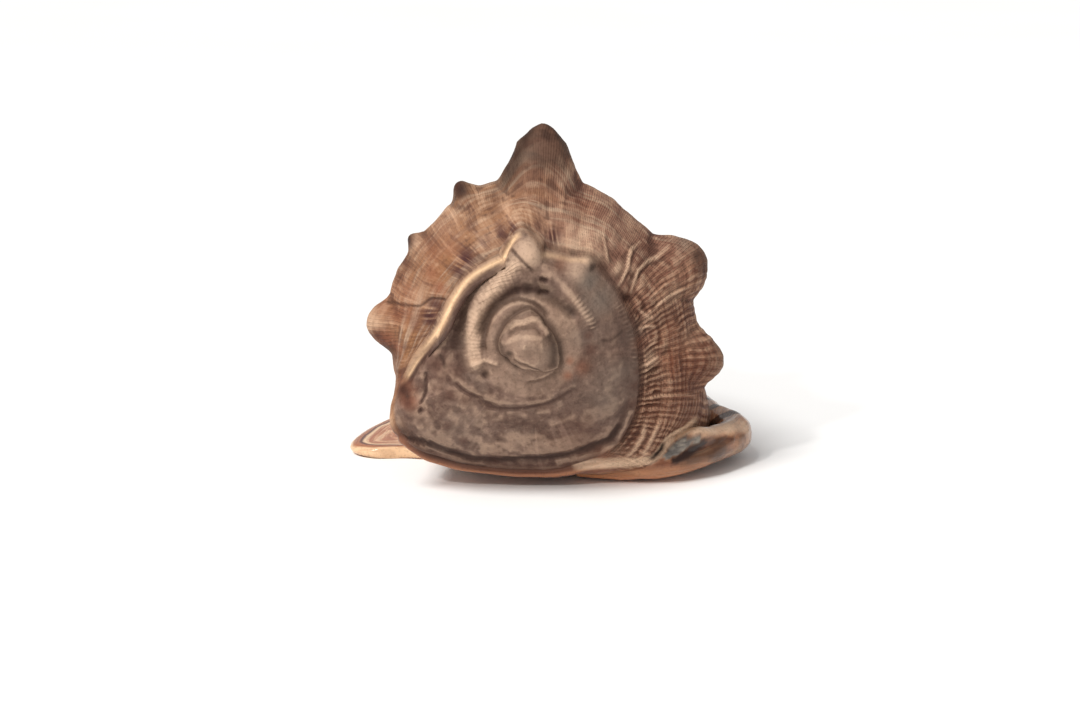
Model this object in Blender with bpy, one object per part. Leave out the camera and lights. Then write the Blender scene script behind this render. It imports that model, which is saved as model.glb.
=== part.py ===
"""Helmet shell: one grown piece, lying aperture down, spire towards -Y and canal towards +Y."""

import math

import bmesh
import bpy
from mathutils import Matrix, Vector

# Overall sizes, in metres
SPIRE_CENTRE = Vector((-0.0086, 0.0, 0.062))
APEX = Vector((-0.0098, -0.0970, 0.0645))
CANAL_TIP = Vector((0.0015, 0.0985, 0.0480))
SHOULDER_Y = -0.048
SOLE_Z = 0.0016

# Reach of the last whorl's shoulder from the spire centre, every 15 degrees from +X through +Z, in mm
SHOULDER_REACH = (
    62.6, 61.3, 58.0, 55.5, 56.2, 56.0, 54.8, 54.6, 53.2, 51.8, 52.2, 52.8,
    52.5, 54.0, 56.2, 61.6, 61.8, 58.6, 57.0, 60.6, 69.0, 80.0, 74.0, 65.8,
)
# The same for the rear of the body, where the lower right spreads to meet the rolled lip, in mm
REAR_REACH = (
    60.0, 58.5, 57.0, 55.0, 54.0, 54.0, 54.0, 54.0, 53.0, 51.8, 51.2, 51.5,
    52.5, 54.0, 57.0, 64.0, 66.0, 62.0, 60.5, 62.6, 72.0, 93.0, 94.0, 72.0,
)
# Reach of the edge of the flat inner whorl, on the same dial, in mm
TERRACE_REACH = (
    38.5, 36.8, 35.6, 35.0, 34.2, 33.4, 33.5, 32.6, 32.2, 32.2, 32.0, 32.4,
    36.0, 45.0, 57.0, 61.5, 58.5, 55.3, 54.5, 55.2, 55.0, 51.5, 46.2, 41.3,
)
# How far forward that edge stands, every 30 degrees, in mm
TERRACE_DEPTH = (74.0, 75.0, 76.0, 78.0, 78.0, 77.0, 75.0, 69.0, 63.0, 61.0, 62.0, 70.0)
# Reach of the groove round the spire, every 30 degrees, in mm
GROOVE_REACH = (22.0, 22.0, 22.0, 23.0, 25.0, 28.0, 31.0, 31.0, 25.5, 22.0, 21.5, 22.0)
GROOVE_Y = -0.0845
# Rings of the spire inside that groove: reach and forward place, in metres
SPIRE_RINGS = ((0.0050, -0.0939), (0.0092, -0.0902), (0.0136, -0.0872), (0.0176, -0.0860))
# Between the groove and the edge: share of the way out, and how far the surface bulges forward
PLATE_SHARE, PLATE_BULGE = 0.55, 0.0020
# The step outside the edge: how much wider its foot is, how much further back, and the ramp's bulge
STEP_WIDTH, STEP_DEPTH = 0.0018, 0.0026
RAMP_SHARE, RAMP_BULGE = 0.56, 0.0035
# Dent in front of the rolled lip: dial angle, reach, half width and depth
DENT = (321.0, 0.073, 0.009, 0.005)

# Knobs: dial angle, forward position, height, half width round the whorl in degrees, half length, sharpness
KNOBS = (
    (-11.5, -0.046, 0.0098, 11.5, 0.015, 1.6),
    (22.0, -0.046, 0.0104, 14.5, 0.017, 1.1),
    (86.0, -0.046, 0.0206, 17.0, 0.020, 1.7),
    (116.0, -0.047, 0.0058, 8.0, 0.009, 2.2),
    (144.0, -0.047, 0.0042, 8.0, 0.009, 2.2),
    (181.0, -0.046, 0.0085, 13.0, 0.014, 1.4),
    (8.0, -0.014, 0.0035, 10.0, 0.014, 2.2),
    (34.0, -0.014, 0.0042, 11.0, 0.014, 2.2),
    (62.0, -0.013, 0.0046, 11.0, 0.015, 2.2),
    (90.0, -0.013, 0.0052, 12.0, 0.015, 2.2),
    (118.0, -0.013, 0.0042, 11.0, 0.014, 2.2),
    (146.0, -0.014, 0.0034, 11.0, 0.014, 2.2),
    (48.0, 0.016, 0.0030, 12.0, 0.013, 2.2),
    (78.0, 0.016, 0.0036, 12.0, 0.013, 2.2),
    (108.0, 0.016, 0.0030, 12.0, 0.013, 2.2),
)
# Knobs on the edge of the inner whorl: dial angle, height in mm, half width in degrees
TERRACE_KNOBS = ((94.0, 7.0, 13.0), (53.0, 2.2, 11.0))

# Body behind the shoulder: position, share of the shoulder's reach, centre (x, z), backward lean in degrees
BODY_STATIONS = (
    (-0.0330, 0.985, -0.0078, 0.0585, 0.0),
    (-0.0120, 0.930, -0.0065, 0.0540, 0.0),
    (0.0120, 0.830, -0.0050, 0.0480, 0.0),
    (0.0360, 0.690, -0.0030, 0.0410, 0.0),
    (0.0570, 0.540, -0.0010, 0.0325, 0.0),
    (0.0730, 0.395, 0.0005, 0.0250, 8.0),
    (0.0850, 0.270, 0.0010, 0.0240, 26.0),
    (0.0925, 0.190, 0.0014, 0.0315, 44.0),
    (0.0960, 0.130, 0.0015, 0.0400, 56.0),
)
ROWS_PER_SPAN = (1, 1, 1, 1, 1, 1, 2, 1, 2, 5, 4, 4, 5, 4, 2, 2, 1, 1, 1, 1)
COLUMNS = 96

# Sole: outline seen from below, in metres, round from the front
SOLE_OUTLINE = (
    (0.0000, -0.0380), (0.0240, -0.0440), (0.0430, -0.0400), (0.0550, -0.0290),
    (0.0620, -0.0120), (0.0630, 0.0090), (0.0580, 0.0350), (0.0460, 0.0600),
    (0.0280, 0.0800), (0.0060, 0.0880), (-0.0160, 0.0830), (-0.0360, 0.0660),
    (-0.0550, 0.0440), (-0.0700, 0.0220), (-0.0785, 0.0020), (-0.0797, -0.0125),
    (-0.0715, -0.0200), (-0.0570, -0.0200), (-0.0420, -0.0250), (-0.0230, -0.0330),
)
SOLE_RIM = ((0.90, 0.0), (0.965, 0.0004), (1.0, 0.0034), (0.985, 0.0062), (0.90, 0.0076))
# How much thicker the sole grows towards the lip, and thinner towards the lobe on the other side
LIP_SWELL, LOBE_THINNING = 0.55, 0.20
LIP_SIDE_X, LOBE_SIDE_X = 0.067, -0.079
SOLE_STEPS = 3

# Rolled outer lip: centre line with the roll's half height
LIP_ROLL = (
    (0.0100, -0.0460, 0.0046, 0.0038), (0.0280, -0.0500, 0.0062, 0.0054),
    (0.0460, -0.0485, 0.0089, 0.0068), (0.0605, -0.0385, 0.0109, 0.0068),
    (0.0724, -0.0200, 0.0106, 0.0066), (0.0658, 0.0030, 0.0092, 0.0066),
    (0.0605, 0.0270, 0.0082, 0.0066), (0.0515, 0.0490, 0.0074, 0.0063),
    (0.0385, 0.0670, 0.0066, 0.0060), (0.0230, 0.0790, 0.0066, 0.0056),
    (0.0110, 0.0850, 0.0100, 0.0050),
)
LIP_SIDES = 10
LIP_WIDENING = 1.05
# Crest on the roll's top: place in spans, its half length, turn round the roll, its half width, height
LIP_CREST = (2.4, 0.45, 66.0, 24.0, 0.0044)

# Aperture: position, slot centre x, slot half width, roof height, chamber half width, chamber centre height
APERTURE = (
    (-0.0370, 0.0240, 0.0034, 0.0230, 0.0034, 0.0180),
    (-0.0300, 0.0235, 0.0052, 0.0340, 0.0080, 0.0200),
    (-0.0150, 0.0225, 0.0062, 0.0520, 0.0190, 0.0300),
    (0.0050, 0.0205, 0.0064, 0.0560, 0.0210, 0.0320),
    (0.0250, 0.0175, 0.0062, 0.0500, 0.0170, 0.0290),
    (0.0450, 0.0135, 0.0058, 0.0400, 0.0110, 0.0250),
    (0.0620, 0.0090, 0.0054, 0.0330, 0.0064, 0.0220),
    (0.0760, 0.0050, 0.0048, 0.0270, 0.0048, 0.0190),
    (0.0860, 0.0028, 0.0042, 0.0250, 0.0042, 0.0185),
    (0.0930, 0.0018, 0.0036, 0.0330, 0.0036, 0.0200),
    (0.0985, 0.0015, 0.0034, 0.0440, 0.0034, 0.0220),
    (0.1080, 0.0015, 0.0034, 0.0600, 0.0034, 0.0240),
)
TEETH_FROM, TEETH_TO, TEETH, TOOTH_HEIGHT = -0.026, 0.056, 11, 0.0012
APERTURE_ROWS = 40


def mix(start, end, share):
    return start + (end - start) * share


def curve_through(before, start, end, after, share):
    """Smooth value between start and end, bending with the two neighbours."""
    bend = 2 * before - 5 * start + 4 * end - after
    twist = 3 * (start - end) + after - before
    return start + 0.5 * share * ((end - before) + share * (bend + share * twist))


def on_dial(values, angle):
    """Value at an angle, from values spaced evenly round the dial."""
    place = (angle % 360.0) / 360.0 * len(values)
    step = int(place)
    near = [values[(step + i) % len(values)] for i in (-1, 0, 1, 2)]
    return curve_through(*near, place - step)


def along(points, place):
    """Point on a smooth open curve; place counts in spans."""
    step = min(int(place), len(points) - 2)
    last = len(points) - 1
    picks = [points[min(max(step + i, 0), last)] for i in (-1, 0, 1, 2)]
    return [curve_through(*near, place - step) for near in zip(*picks)]


def hump(distance, sharpness):
    """One at the middle, nothing from a distance of one outwards."""
    if abs(distance) >= 1.0:
        return 0.0
    return math.cos(distance * math.pi / 2) ** sharpness


def bell(distance, width):
    """One at the middle, fading smoothly over the width."""
    return math.exp(-((distance / width) ** 2))


def turn_gap(angle, other):
    return (angle - other + 180.0) % 360.0 - 180.0


def knob_height(angle, forward):
    total = 0.0
    for middle, place, height, width, length, sharpness in KNOBS:
        across = turn_gap(angle, middle) / width
        down = (forward - place) / length
        total += height * hump(math.hypot(across, down), sharpness)
    return total


def terrace_reach(angle):
    reach = on_dial(TERRACE_REACH, angle)
    for middle, height, width in TERRACE_KNOBS:
        reach += height * hump(turn_gap(angle, middle) / width, 1.5)
    return reach / 1000.0


def on_ring(centre, reach, angle, forward, lean=0.0):
    """Point of a ring round the coil axis; lean tips the ring's top back over."""
    turn = math.radians(angle)
    tip = math.radians(lean)
    rise = reach * math.sin(turn)
    return Vector((
        centre[0] + reach * math.cos(turn),
        forward - rise * math.sin(tip),
        centre[1] + rise * math.cos(tip),
    ))


def front_stations(angle):
    """Points from the apex out to the foot of the step round the inner whorl."""
    centre = (SPIRE_CENTRE.x, SPIRE_CENTRE.z)
    edge = terrace_reach(angle)
    edge_y = -on_dial(TERRACE_DEPTH, angle) / 1000.0
    groove = on_dial(GROOVE_REACH, angle) / 1000.0
    plate_y = mix(GROOVE_Y, edge_y, 0.5) - PLATE_BULGE
    stations = [APEX.copy()]
    stations += [on_ring(centre, reach, angle, forward) for reach, forward in SPIRE_RINGS]
    stations.append(on_ring(centre, groove, angle, GROOVE_Y))
    stations.append(on_ring(centre, mix(groove, edge, PLATE_SHARE), angle, plate_y))
    stations.append(on_ring(centre, edge, angle, edge_y))
    stations.append(on_ring(centre, edge + STEP_WIDTH, angle, edge_y + STEP_DEPTH))
    return stations


def column_stations(angle):
    """All the points that the surface follows from the apex to the canal's tip."""
    stations = front_stations(angle)
    shoulder = on_dial(SHOULDER_REACH, angle) / 1000.0
    foot = terrace_reach(angle) + STEP_WIDTH
    foot_y = stations[-1].y
    ramp_y = mix(foot_y, SHOULDER_Y, 0.5) - RAMP_BULGE
    centre = (SPIRE_CENTRE.x, SPIRE_CENTRE.z)
    stations.append(on_ring(centre, mix(foot, shoulder, RAMP_SHARE), angle, ramp_y))
    stations.append(on_ring(centre, shoulder, angle, SHOULDER_Y))
    rear = on_dial(REAR_REACH, angle) / 1000.0
    for forward, share, across, up, lean in BODY_STATIONS:
        spread = mix(shoulder, rear, min(1.0, (forward - SHOULDER_Y) / 0.060))
        stations.append(on_ring((across, up), spread * share, angle, forward, lean))
    stations.append(CANAL_TIP.copy())
    return stations


def dent_depth(point):
    """How far the surface is pushed back in front of the rolled lip."""
    angle, reach, width, depth = DENT
    turn = math.radians(angle)
    across = point.x - SPIRE_CENTRE.x - reach * math.cos(turn)
    up = point.z - SPIRE_CENTRE.z - reach * math.sin(turn)
    if point.y > SHOULDER_Y:
        return 0.0
    return depth * bell(math.hypot(across, up), width)


def body_column(angle):
    """One line of points from apex to canal, with the knobs raised on it."""
    stations = column_stations(angle)
    turn = math.radians(angle)
    outward = Vector((math.cos(turn), 0.0, math.sin(turn)))
    line = []
    for span, rows in enumerate(ROWS_PER_SPAN):
        for row in range(rows):
            point = Vector(along(stations, span + row / rows))
            point += outward * knob_height(angle, point.y)
            point.y += dent_depth(point)
            point.z = max(point.z, SOLE_Z)
            line.append(point)
    return line


def join_rings(work, rings, closed_ends):
    """Skin a list of rings that have the same number of points."""
    count = len(rings[0])
    for ring, following in zip(rings, rings[1:]):
        for i in range(count):
            j = (i + 1) % count
            work.faces.new((ring[i], ring[j], following[j], following[i]))
    if closed_ends:
        work.faces.new(list(reversed(rings[0])))
        work.faces.new(rings[-1])


def finish_solid(work, name, stage):
    """Turn the working mesh into an object with its faces outward."""
    bmesh.ops.recalc_face_normals(work, faces=work.faces)
    mesh = bpy.data.meshes.new(name)
    work.to_mesh(mesh)
    work.free()
    solid = bpy.data.objects.new(name, mesh)
    stage.objects.link(solid)
    return solid


def make_body(stage):
    """The coiled body, as a skin over rings that change from spire to canal."""
    columns = [body_column(360.0 * i / COLUMNS) for i in range(COLUMNS)]
    work = bmesh.new()
    rings = []
    for row in range(1, len(columns[0])):
        rings.append([work.verts.new(column[row]) for column in columns])
    join_rings(work, rings, False)
    apex = work.verts.new(APEX)
    tip = work.verts.new(CANAL_TIP)
    for i in range(COLUMNS):
        j = (i + 1) % COLUMNS
        work.faces.new((apex, rings[0][j], rings[0][i]))
        work.faces.new((tip, rings[-1][i], rings[-1][j]))
    return finish_solid(work, "body", stage)


def make_sole(stage):
    """The flat shield and lip face that the shell lies on, thinning to a rounded rim."""
    count = len(SOLE_OUTLINE)
    closed = [SOLE_OUTLINE[i % count] for i in range(-1, count + 2)]
    outline = []
    for i in range(count):
        near = closed[i:i + 4]
        for step in range(SOLE_STEPS):
            share = step / SOLE_STEPS
            outline.append([curve_through(*values, share) for values in zip(*near)])
    work = bmesh.new()
    rings = []
    for shrink, height in SOLE_RIM:
        ring = []
        for across, forward in outline:
            swell = 1.0 + LIP_SWELL * across / LIP_SIDE_X
            if across < 0.0:
                swell = 1.0 - LOBE_THINNING * across / LOBE_SIDE_X
            ring.append(work.verts.new((across * shrink, forward * shrink, height * swell)))
        rings.append(ring)
    join_rings(work, rings, True)
    return finish_solid(work, "sole", stage)


def lip_radius(half_height, place, turn):
    """Half height of the roll at a turn round it, with the crest on its top."""
    middle, length, top, width, height = LIP_CREST
    gap = turn_gap(math.degrees(turn), top)
    return half_height + height * bell(place - middle, length) * bell(gap, width)


def make_lip_roll(stage):
    """The thick rolled rim of the outer lip, an oval section along the sole's right edge."""
    work = bmesh.new()
    rings = []
    spans = len(LIP_ROLL) - 1
    for step in range(spans * 2 + 1):
        here = along(LIP_ROLL, step / 2)
        ahead = along(LIP_ROLL, min(step / 2 + 0.05, spans))
        behind = along(LIP_ROLL, max(step / 2 - 0.05, 0.0))
        travel = Vector((ahead[0] - behind[0], ahead[1] - behind[1], 0.0)).normalized()
        sideways = Vector((travel.y, -travel.x, 0.0))
        ring = []
        for side in range(LIP_SIDES):
            turn = 2 * math.pi * side / LIP_SIDES
            radius = lip_radius(here[3], step / 2, turn)
            point = Vector(here[:3]) + sideways * math.cos(turn) * radius * LIP_WIDENING
            point.z = max(point.z + math.sin(turn) * radius, 0.0)
            ring.append(work.verts.new(point))
        rings.append(ring)
    join_rings(work, rings, True)
    return finish_solid(work, "lip_roll", stage)


def tooth(forward):
    """Inward reach of the ridges along the slot."""
    if not TEETH_FROM < forward < TEETH_TO:
        return 0.0
    phase = (forward - TEETH_FROM) / (TEETH_TO - TEETH_FROM) * TEETH
    return TOOTH_HEIGHT * (0.5 - 0.5 * math.cos(2 * math.pi * phase))


def aperture_section(values, forward):
    """Keyhole section: a narrow slot at the sole that opens into the chamber above."""
    across, half, roof, chamber, middle = values
    narrow = half - tooth(forward)
    side = [(narrow, -0.006), (narrow, 0.0035), (half, 0.0090), (mix(half, chamber, 0.6), 0.0135)]
    side += [(chamber, middle), (chamber * 0.72, mix(middle, roof, 0.72)), (chamber * 0.3, roof)]
    right = [(across + out, up) for out, up in side]
    left = [(across - out, up) for out, up in reversed(side)]
    return right + left


def make_aperture(stage):
    """Cutter for the slot, the chamber behind it and the canal's channel."""
    work = bmesh.new()
    rings = []
    for row in range(APERTURE_ROWS + 1):
        place = row / APERTURE_ROWS * (len(APERTURE) - 1)
        forward, *values = along(APERTURE, place)
        section = aperture_section(values, forward)
        rings.append([work.verts.new((across, forward, up)) for across, up in section])
    join_rings(work, rings, True)
    return finish_solid(work, "aperture", stage)


def centre_on_origin(solids, tools):
    """Move everything so that the middle of the shell's length and width stands over the origin."""
    points = [vertex.co for solid in solids for vertex in solid.data.vertices]
    across = [point.x for point in points]
    forward = [point.y for point in points]
    middle = Vector((min(across) + max(across), min(forward) + max(forward), 0.0)) / 2
    for thing in solids + tools:
        thing.data.transform(Matrix.Translation(-middle))


def shell_material():
    material = bpy.data.materials.new("shell")
    material.use_nodes = True
    surface = material.node_tree.nodes["Principled BSDF"]
    surface.inputs["Base Color"].default_value = (0.33, 0.19, 0.12, 1.0)
    surface.inputs["Roughness"].default_value = 0.5
    surface.inputs["Metallic"].default_value = 0.0
    material.diffuse_color = (0.33, 0.19, 0.12, 1.0)
    return material


def combine(target, tool, operation):
    step = target.modifiers.new(tool.name, "BOOLEAN")
    step.object = tool
    step.operation = operation
    step.solver = "EXACT"
    tool.hide_render = True
    tool.display_type = "WIRE"


def main():
    for thing in list(bpy.data.objects):
        bpy.data.objects.remove(thing, do_unlink=True)
    shell_stage = bpy.data.collections.new("helmet_shell")
    tool_stage = bpy.data.collections.new("tools")
    bpy.context.scene.collection.children.link(shell_stage)
    bpy.context.scene.collection.children.link(tool_stage)
    shell = make_body(shell_stage)
    shell.name = "helmet_shell"
    sole = make_sole(tool_stage)
    lip_roll = make_lip_roll(tool_stage)
    aperture = make_aperture(tool_stage)
    centre_on_origin([shell, sole, lip_roll], [aperture])
    combine(shell, sole, "UNION")
    combine(shell, lip_roll, "UNION")
    combine(shell, aperture, "DIFFERENCE")
    shell.data.materials.append(shell_material())


main()
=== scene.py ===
import math

import bmesh
import bpy
import numpy as np
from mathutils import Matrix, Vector, noise


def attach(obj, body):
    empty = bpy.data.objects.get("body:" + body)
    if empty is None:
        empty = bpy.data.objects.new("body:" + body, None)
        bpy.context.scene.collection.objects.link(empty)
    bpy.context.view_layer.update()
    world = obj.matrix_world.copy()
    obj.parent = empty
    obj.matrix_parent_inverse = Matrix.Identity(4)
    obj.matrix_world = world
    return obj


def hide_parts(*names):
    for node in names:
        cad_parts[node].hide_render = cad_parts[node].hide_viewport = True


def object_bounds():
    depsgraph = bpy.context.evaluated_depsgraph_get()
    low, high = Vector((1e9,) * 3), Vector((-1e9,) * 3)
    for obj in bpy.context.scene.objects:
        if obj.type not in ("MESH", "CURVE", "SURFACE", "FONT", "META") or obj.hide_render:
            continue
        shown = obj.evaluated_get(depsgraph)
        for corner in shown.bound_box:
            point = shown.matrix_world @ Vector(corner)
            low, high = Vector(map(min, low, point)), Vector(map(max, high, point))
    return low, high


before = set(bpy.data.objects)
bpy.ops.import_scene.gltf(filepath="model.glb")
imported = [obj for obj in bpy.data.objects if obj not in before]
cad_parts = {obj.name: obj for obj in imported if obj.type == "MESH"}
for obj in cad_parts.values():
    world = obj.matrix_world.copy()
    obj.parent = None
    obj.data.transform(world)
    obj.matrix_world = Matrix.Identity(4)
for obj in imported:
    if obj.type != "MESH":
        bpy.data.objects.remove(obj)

CAD_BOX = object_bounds()
MM = 0.001

MM = 0.001

# ---------------------------------------------------------------- sizes, in millimetres and degrees
SPIRE_X, SPIRE_Z = -8.6, 62.0
APEX = (-9.8, -96.6, 64.5)
CANAL_TIP = (1.5, 98.5, 48.0)
SHOULDER_Y = -48.0
GROOVE_Y = -84.5
SOLE_Z = 1.6
# Which skin a face belongs to, kept as the number of its material
RIBBED, CALLUS, INNER = 0, 1, 2
JOIN_ROUNDS = 5

# Reach from the spire centre, every 15 degrees from +X through +Z
SHOULDER_REACH = (
    62.6, 61.3, 58.0, 55.5, 56.2, 56.0, 54.8, 54.6, 53.2, 51.8, 52.2, 52.8,
    52.5, 53.0, 56.0, 61.2, 60.5, 57.6, 56.8, 60.6, 69.0, 80.0, 74.0, 65.8,
)
REAR_REACH = (
    60.0, 58.5, 57.0, 55.0, 54.0, 54.0, 54.0, 54.0, 53.0, 51.8, 51.2, 51.5,
    52.5, 54.0, 57.0, 64.0, 66.0, 62.0, 60.5, 62.6, 72.0, 93.0, 94.0, 72.0,
)
TERRACE_REACH = (
    38.5, 36.8, 35.6, 35.0, 34.2, 33.4, 33.5, 32.6, 32.2, 32.2, 32.0, 32.4,
    36.0, 45.0, 57.0, 61.5, 58.5, 55.3, 54.5, 55.2, 55.0, 51.5, 46.2, 41.3,
)
TERRACE_DEPTH = (74.0, 75.0, 76.0, 78.0, 78.0, 77.0, 75.0, 69.0, 63.0, 61.0, 62.0, 70.0)
GROOVE_REACH = (22.0, 22.0, 22.0, 23.0, 25.0, 28.0, 31.0, 31.0, 25.5, 22.0, 21.5, 22.0)
# How deep the last whorl starts behind the terrace edge, every 30 degrees
STEP_DEPTH = (1.8, 2.2, 2.4, 2.6, 3.4, 3.6, 3.4, 2.6, 1.6, 1.2, 1.4, 1.6)

# Rings of the spire inside the groove: reach, place
SPIRE_RINGS = ((5.0, -93.9), (9.2, -90.2), (13.6, -87.2), (17.6, -86.0))

# Knobs: dial angle, forward place, height, half width in degrees, half length, sharpness
KNOBS = (
    (-11.5, -46.0, 9.8, 11.5, 15.0, 1.6),
    (22.0, -46.0, 10.4, 14.5, 17.0, 1.1),
    (86.0, -46.0, 19.6, 17.0, 20.0, 1.7),
    (116.0, -47.0, 5.8, 8.0, 9.0, 2.2),
    (144.0, -47.0, 3.6, 6.8, 9.0, 2.2),
    (181.0, -46.0, 8.5, 13.0, 14.0, 1.4),
    (8.0, -14.0, 3.5, 10.0, 14.0, 2.2),
    (34.0, -14.0, 4.2, 11.0, 14.0, 2.2),
    (62.0, -13.0, 4.6, 11.0, 15.0, 2.2),
    (90.0, -13.0, 5.2, 12.0, 15.0, 2.2),
    (118.0, -13.0, 4.2, 11.0, 14.0, 2.2),
    (146.0, -14.0, 3.4, 11.0, 14.0, 2.2),
    (48.0, 16.0, 3.0, 12.0, 13.0, 2.2),
    (78.0, 16.0, 3.6, 12.0, 13.0, 2.2),
    (108.0, 16.0, 3.0, 12.0, 13.0, 2.2),
)
TERRACE_KNOBS = ((94.0, 7.0, 13.0), (53.0, 2.2, 11.0))

# Body behind the shoulder: place, share of the reach, centre across, centre up, backward lean
BODY_STATIONS = (
    (-33.0, 0.985, -7.8, 58.5, 0.0),
    (-12.0, 0.930, -6.5, 54.0, 0.0),
    (12.0, 0.830, -5.0, 48.0, 0.0),
    (36.0, 0.690, -3.0, 41.0, 0.0),
    (57.0, 0.540, -1.0, 32.5, 0.0),
    (73.0, 0.395, 0.5, 25.0, 8.0),
    (85.0, 0.270, 1.0, 24.0, 26.0),
    (92.5, 0.190, 1.4, 31.5, 44.0),
    (96.0, 0.130, 1.5, 40.0, 56.0),
)
ROWS_PER_SPAN = (8, 11, 11, 10, 10, 10, 8, 8, 9, 26, 26, 14, 11, 9, 8, 7, 5, 4, 3, 2, 2)
# Columns are closest together where the ribs are: from angle, to angle, how many
COLUMN_STRETCHES = ((-60.0, 20.0, 144), (20.0, 100.0, 94), (100.0, 225.0, 146), (225.0, 300.0, 50))
GROWTH_LINES = 216
RIBS_PER_LINE = 2.0 / 3.0
CORD_SPACING = 1.5
# Growth lines swing forward as they leave the inner whorl: degrees, and the distance it takes
SWING, SWING_REACH = 9.5, 8.0

# Seams between the spire's turns: points (angle, reach), step down outwards, width of the groove
CAP_SEAM = (
    (-35, 13.0), (-11, 11.6), (19, 10.5), (56, 10.8), (74, 12.7), (87, 14.0), (103, 12.9), (123, 12.0),
    (147, 11.2), (171, 10.9), (191, 10.3), (210, 8.8), (230, 7.4), (275, 7.1), (297, 9.2), (325, 13.0),
)
RING_SEAM = (
    (52, 12.5), (72, 14.2), (86, 15.8), (101, 17.3), (121, 17.4), (142, 16.8), (157, 16.0), (176, 15.4),
    (193, 15.2),
)
LOW_SEAM = ((262, 13.6), (273, 12.8), (298, 12.9), (318, 13.4), (325, 13.2))
OUTER_SEAM = (
    (196, 32.5), (203, 31.0), (211, 28.9), (224, 26.8), (242, 25.5), (262, 23.0), (286, 22.2),
    (302, 21.9), (318, 22.4),
)
SEAMS = ((CAP_SEAM, 2.0, 1.5), (RING_SEAM, 1.6, 1.1), (LOW_SEAM, 0.7, 0.8), (OUTER_SEAM, 0.5, 0.9))
# Raised lines (positive) and grooves (negative) on the spire end: points (angle, reach), half width, height
BAND = (
    (100, 29.5), (103, 28.4), (111, 26.2), (121, 24.3), (134, 23.0), (148, 21.9), (167, 20.5),
    (186, 20.2), (196, 20.3),
)
CHANNEL = (
    (108, 31.0), (112, 29.9), (121, 28.4), (133, 27.2), (146, 26.7), (162, 26.2), (180, 28.0),
    (190, 32.5), (203, 44.0),
)
MOAT = (
    (160, 17.6), (152, 17.9), (139, 18.5), (125, 19.2), (110, 20.0), (98, 20.6), (82, 20.4), (67, 18.9),
    (50, 18.6), (38, 19.6),
)
SPINE = ((199, 21.0), (197, 16.5), (207, 13.0))
CROWN = ((128, 10.0), (116, 10.2), (98, 9.6), (83, 10.7), (72, 10.8))
CROWN_END = ((64, 9.8), (50, 9.2), (41, 8.6))
CAP_ARCH = ((140, 8.5), (122, 8.6), (95, 8.0), (71, 8.2), (57, 7.4))
BROW = ((164, 8.3), (145, 6.6), (116, 5.6), (80, 5.0), (46, 6.0))
CAP_FOOT = ((214, 6.1), (240, 5.3), (267, 5.3), (299, 8.7))
SLOTS = (((78.5, 24.6), (75.5, 24.5)), ((76.5, 20.4), (71.0, 20.7)))
TAIL = ((89, 31.0), (82, 29.7), (74, 27.5), (64, 26.0), (52, 24.4), (42, 23.6), (23, 23.7))
KNOB_LINE = ((99, 34.7), (94, 31.2), (87, 27.4))
FOLDS = (
    (((30.6, 37.8), (32.1, 40.2), (34.5, 43.5), (37.8, 46.4), (39.4, 48.6), (38.6, 52.0)), 0.65, 1.2),
    (((23.2, 40.5), (27.0, 43.2), (30.7, 46.5), (31.0, 50.8), (29.8, 54.6), (30.1, 60.0)), 0.65, 1.2),
    (((11.5, 47.0), (13.7, 50.1), (14.3, 53.0), (14.3, 57.0), (13.9, 61.5)), 0.65, 1.0),
    (((55.0, 47.5), (50.5, 43.5), (46.0, 41.0), (41.0, 38.6)), 0.65, 0.7),
    (((15.5, 41.0), (12.0, 42.6), (8.7, 44.3), (7.0, 47.0)), 0.7, 0.9),
    (((3.7, 40.0), (5.0, 43.0), (4.0, 47.0)), 0.7, 0.8),
    (((344.5, 42.5), (347.0, 45.0), (350.7, 49.1)), 0.7, 1.1),
    (((341.5, 43.0), (344.5, 46.0), (348.5, 50.0)), 0.65, 0.8),
    (((352.5, 41.0), (354.5, 44.0), (358.0, 47.0)), 0.7, 0.8),
    (((329.0, 47.5), (334.2, 54.1), (336.0, 60.1), (336.5, 65.2), (335.5, 70.5)), 0.65, 0.8),
    (((304.5, 62.0), (311.0, 60.5), (317.0, 58.5), (323.0, 54.5)), 1.1, 1.0),
    (((309.0, 66.0), (315.0, 63.5), (321.0, 61.0), (327.0, 59.0)), 1.1, 0.9),
)
HORN_SHADE = ((90, 75.0), (92.5, 67.0), (95.5, 61.0), (99, 56.0))
FOLD_TOP = ((214, 66.0), (219, 62.6), (222, 59.1), (226, 56.1), (235, 53.6), (247, 52.0), (256, 49.6),
            (265, 47.8), (276, 47.5), (288, 48.0), (307, 50.0), (314, 48.0))
FOLD_TAN = ((221, 62.6), (224, 60.2), (230, 55.9), (240, 54.6), (250, 53.0))
FOLD_LOW = ((224, 64.8), (228, 62.8), (233, 60.0), (242, 57.2), (252, 54.8))
SOLE_FOLD = ((283, 50.5), (300, 52.8), (308, 53.3), (316, 49.4), (322, 47.0))
CRACK = ((197, 39.2), (202, 40.6), (207, 42.3), (210, 45.2))
OLD_LIP = ((171, 53.4), (168, 46.4), (165, 41.2), (158, 38.0), (155, 34.0))
LINES = (
    (BAND, 3.1, 1.2), (CHANNEL, 2.2, -0.6), (MOAT, 2.2, -2.0),
    (SOLE_FOLD, 1.6, 1.1), (FOLD_TOP, 1.2, -0.55), (FOLD_TAN, 1.4, 0.6), (FOLD_LOW, 1.1, -0.5),
    (CRACK, 0.55, -0.35), (SPINE, 1.2, 1.2), (CROWN, 1.1, 1.3), (CROWN_END, 1.0, 1.1),
    (CAP_ARCH, 0.8, -0.45), (BROW, 1.2, 0.8), (CAP_FOOT, 0.6, -0.5), (SLOTS[0], 0.9, -1.3),
    (SLOTS[1], 0.9, -1.1), (TAIL, 2.2, 0.7), (KNOB_LINE, 0.5, -0.5), (OLD_LIP, 0.7, -0.35),
)
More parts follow.
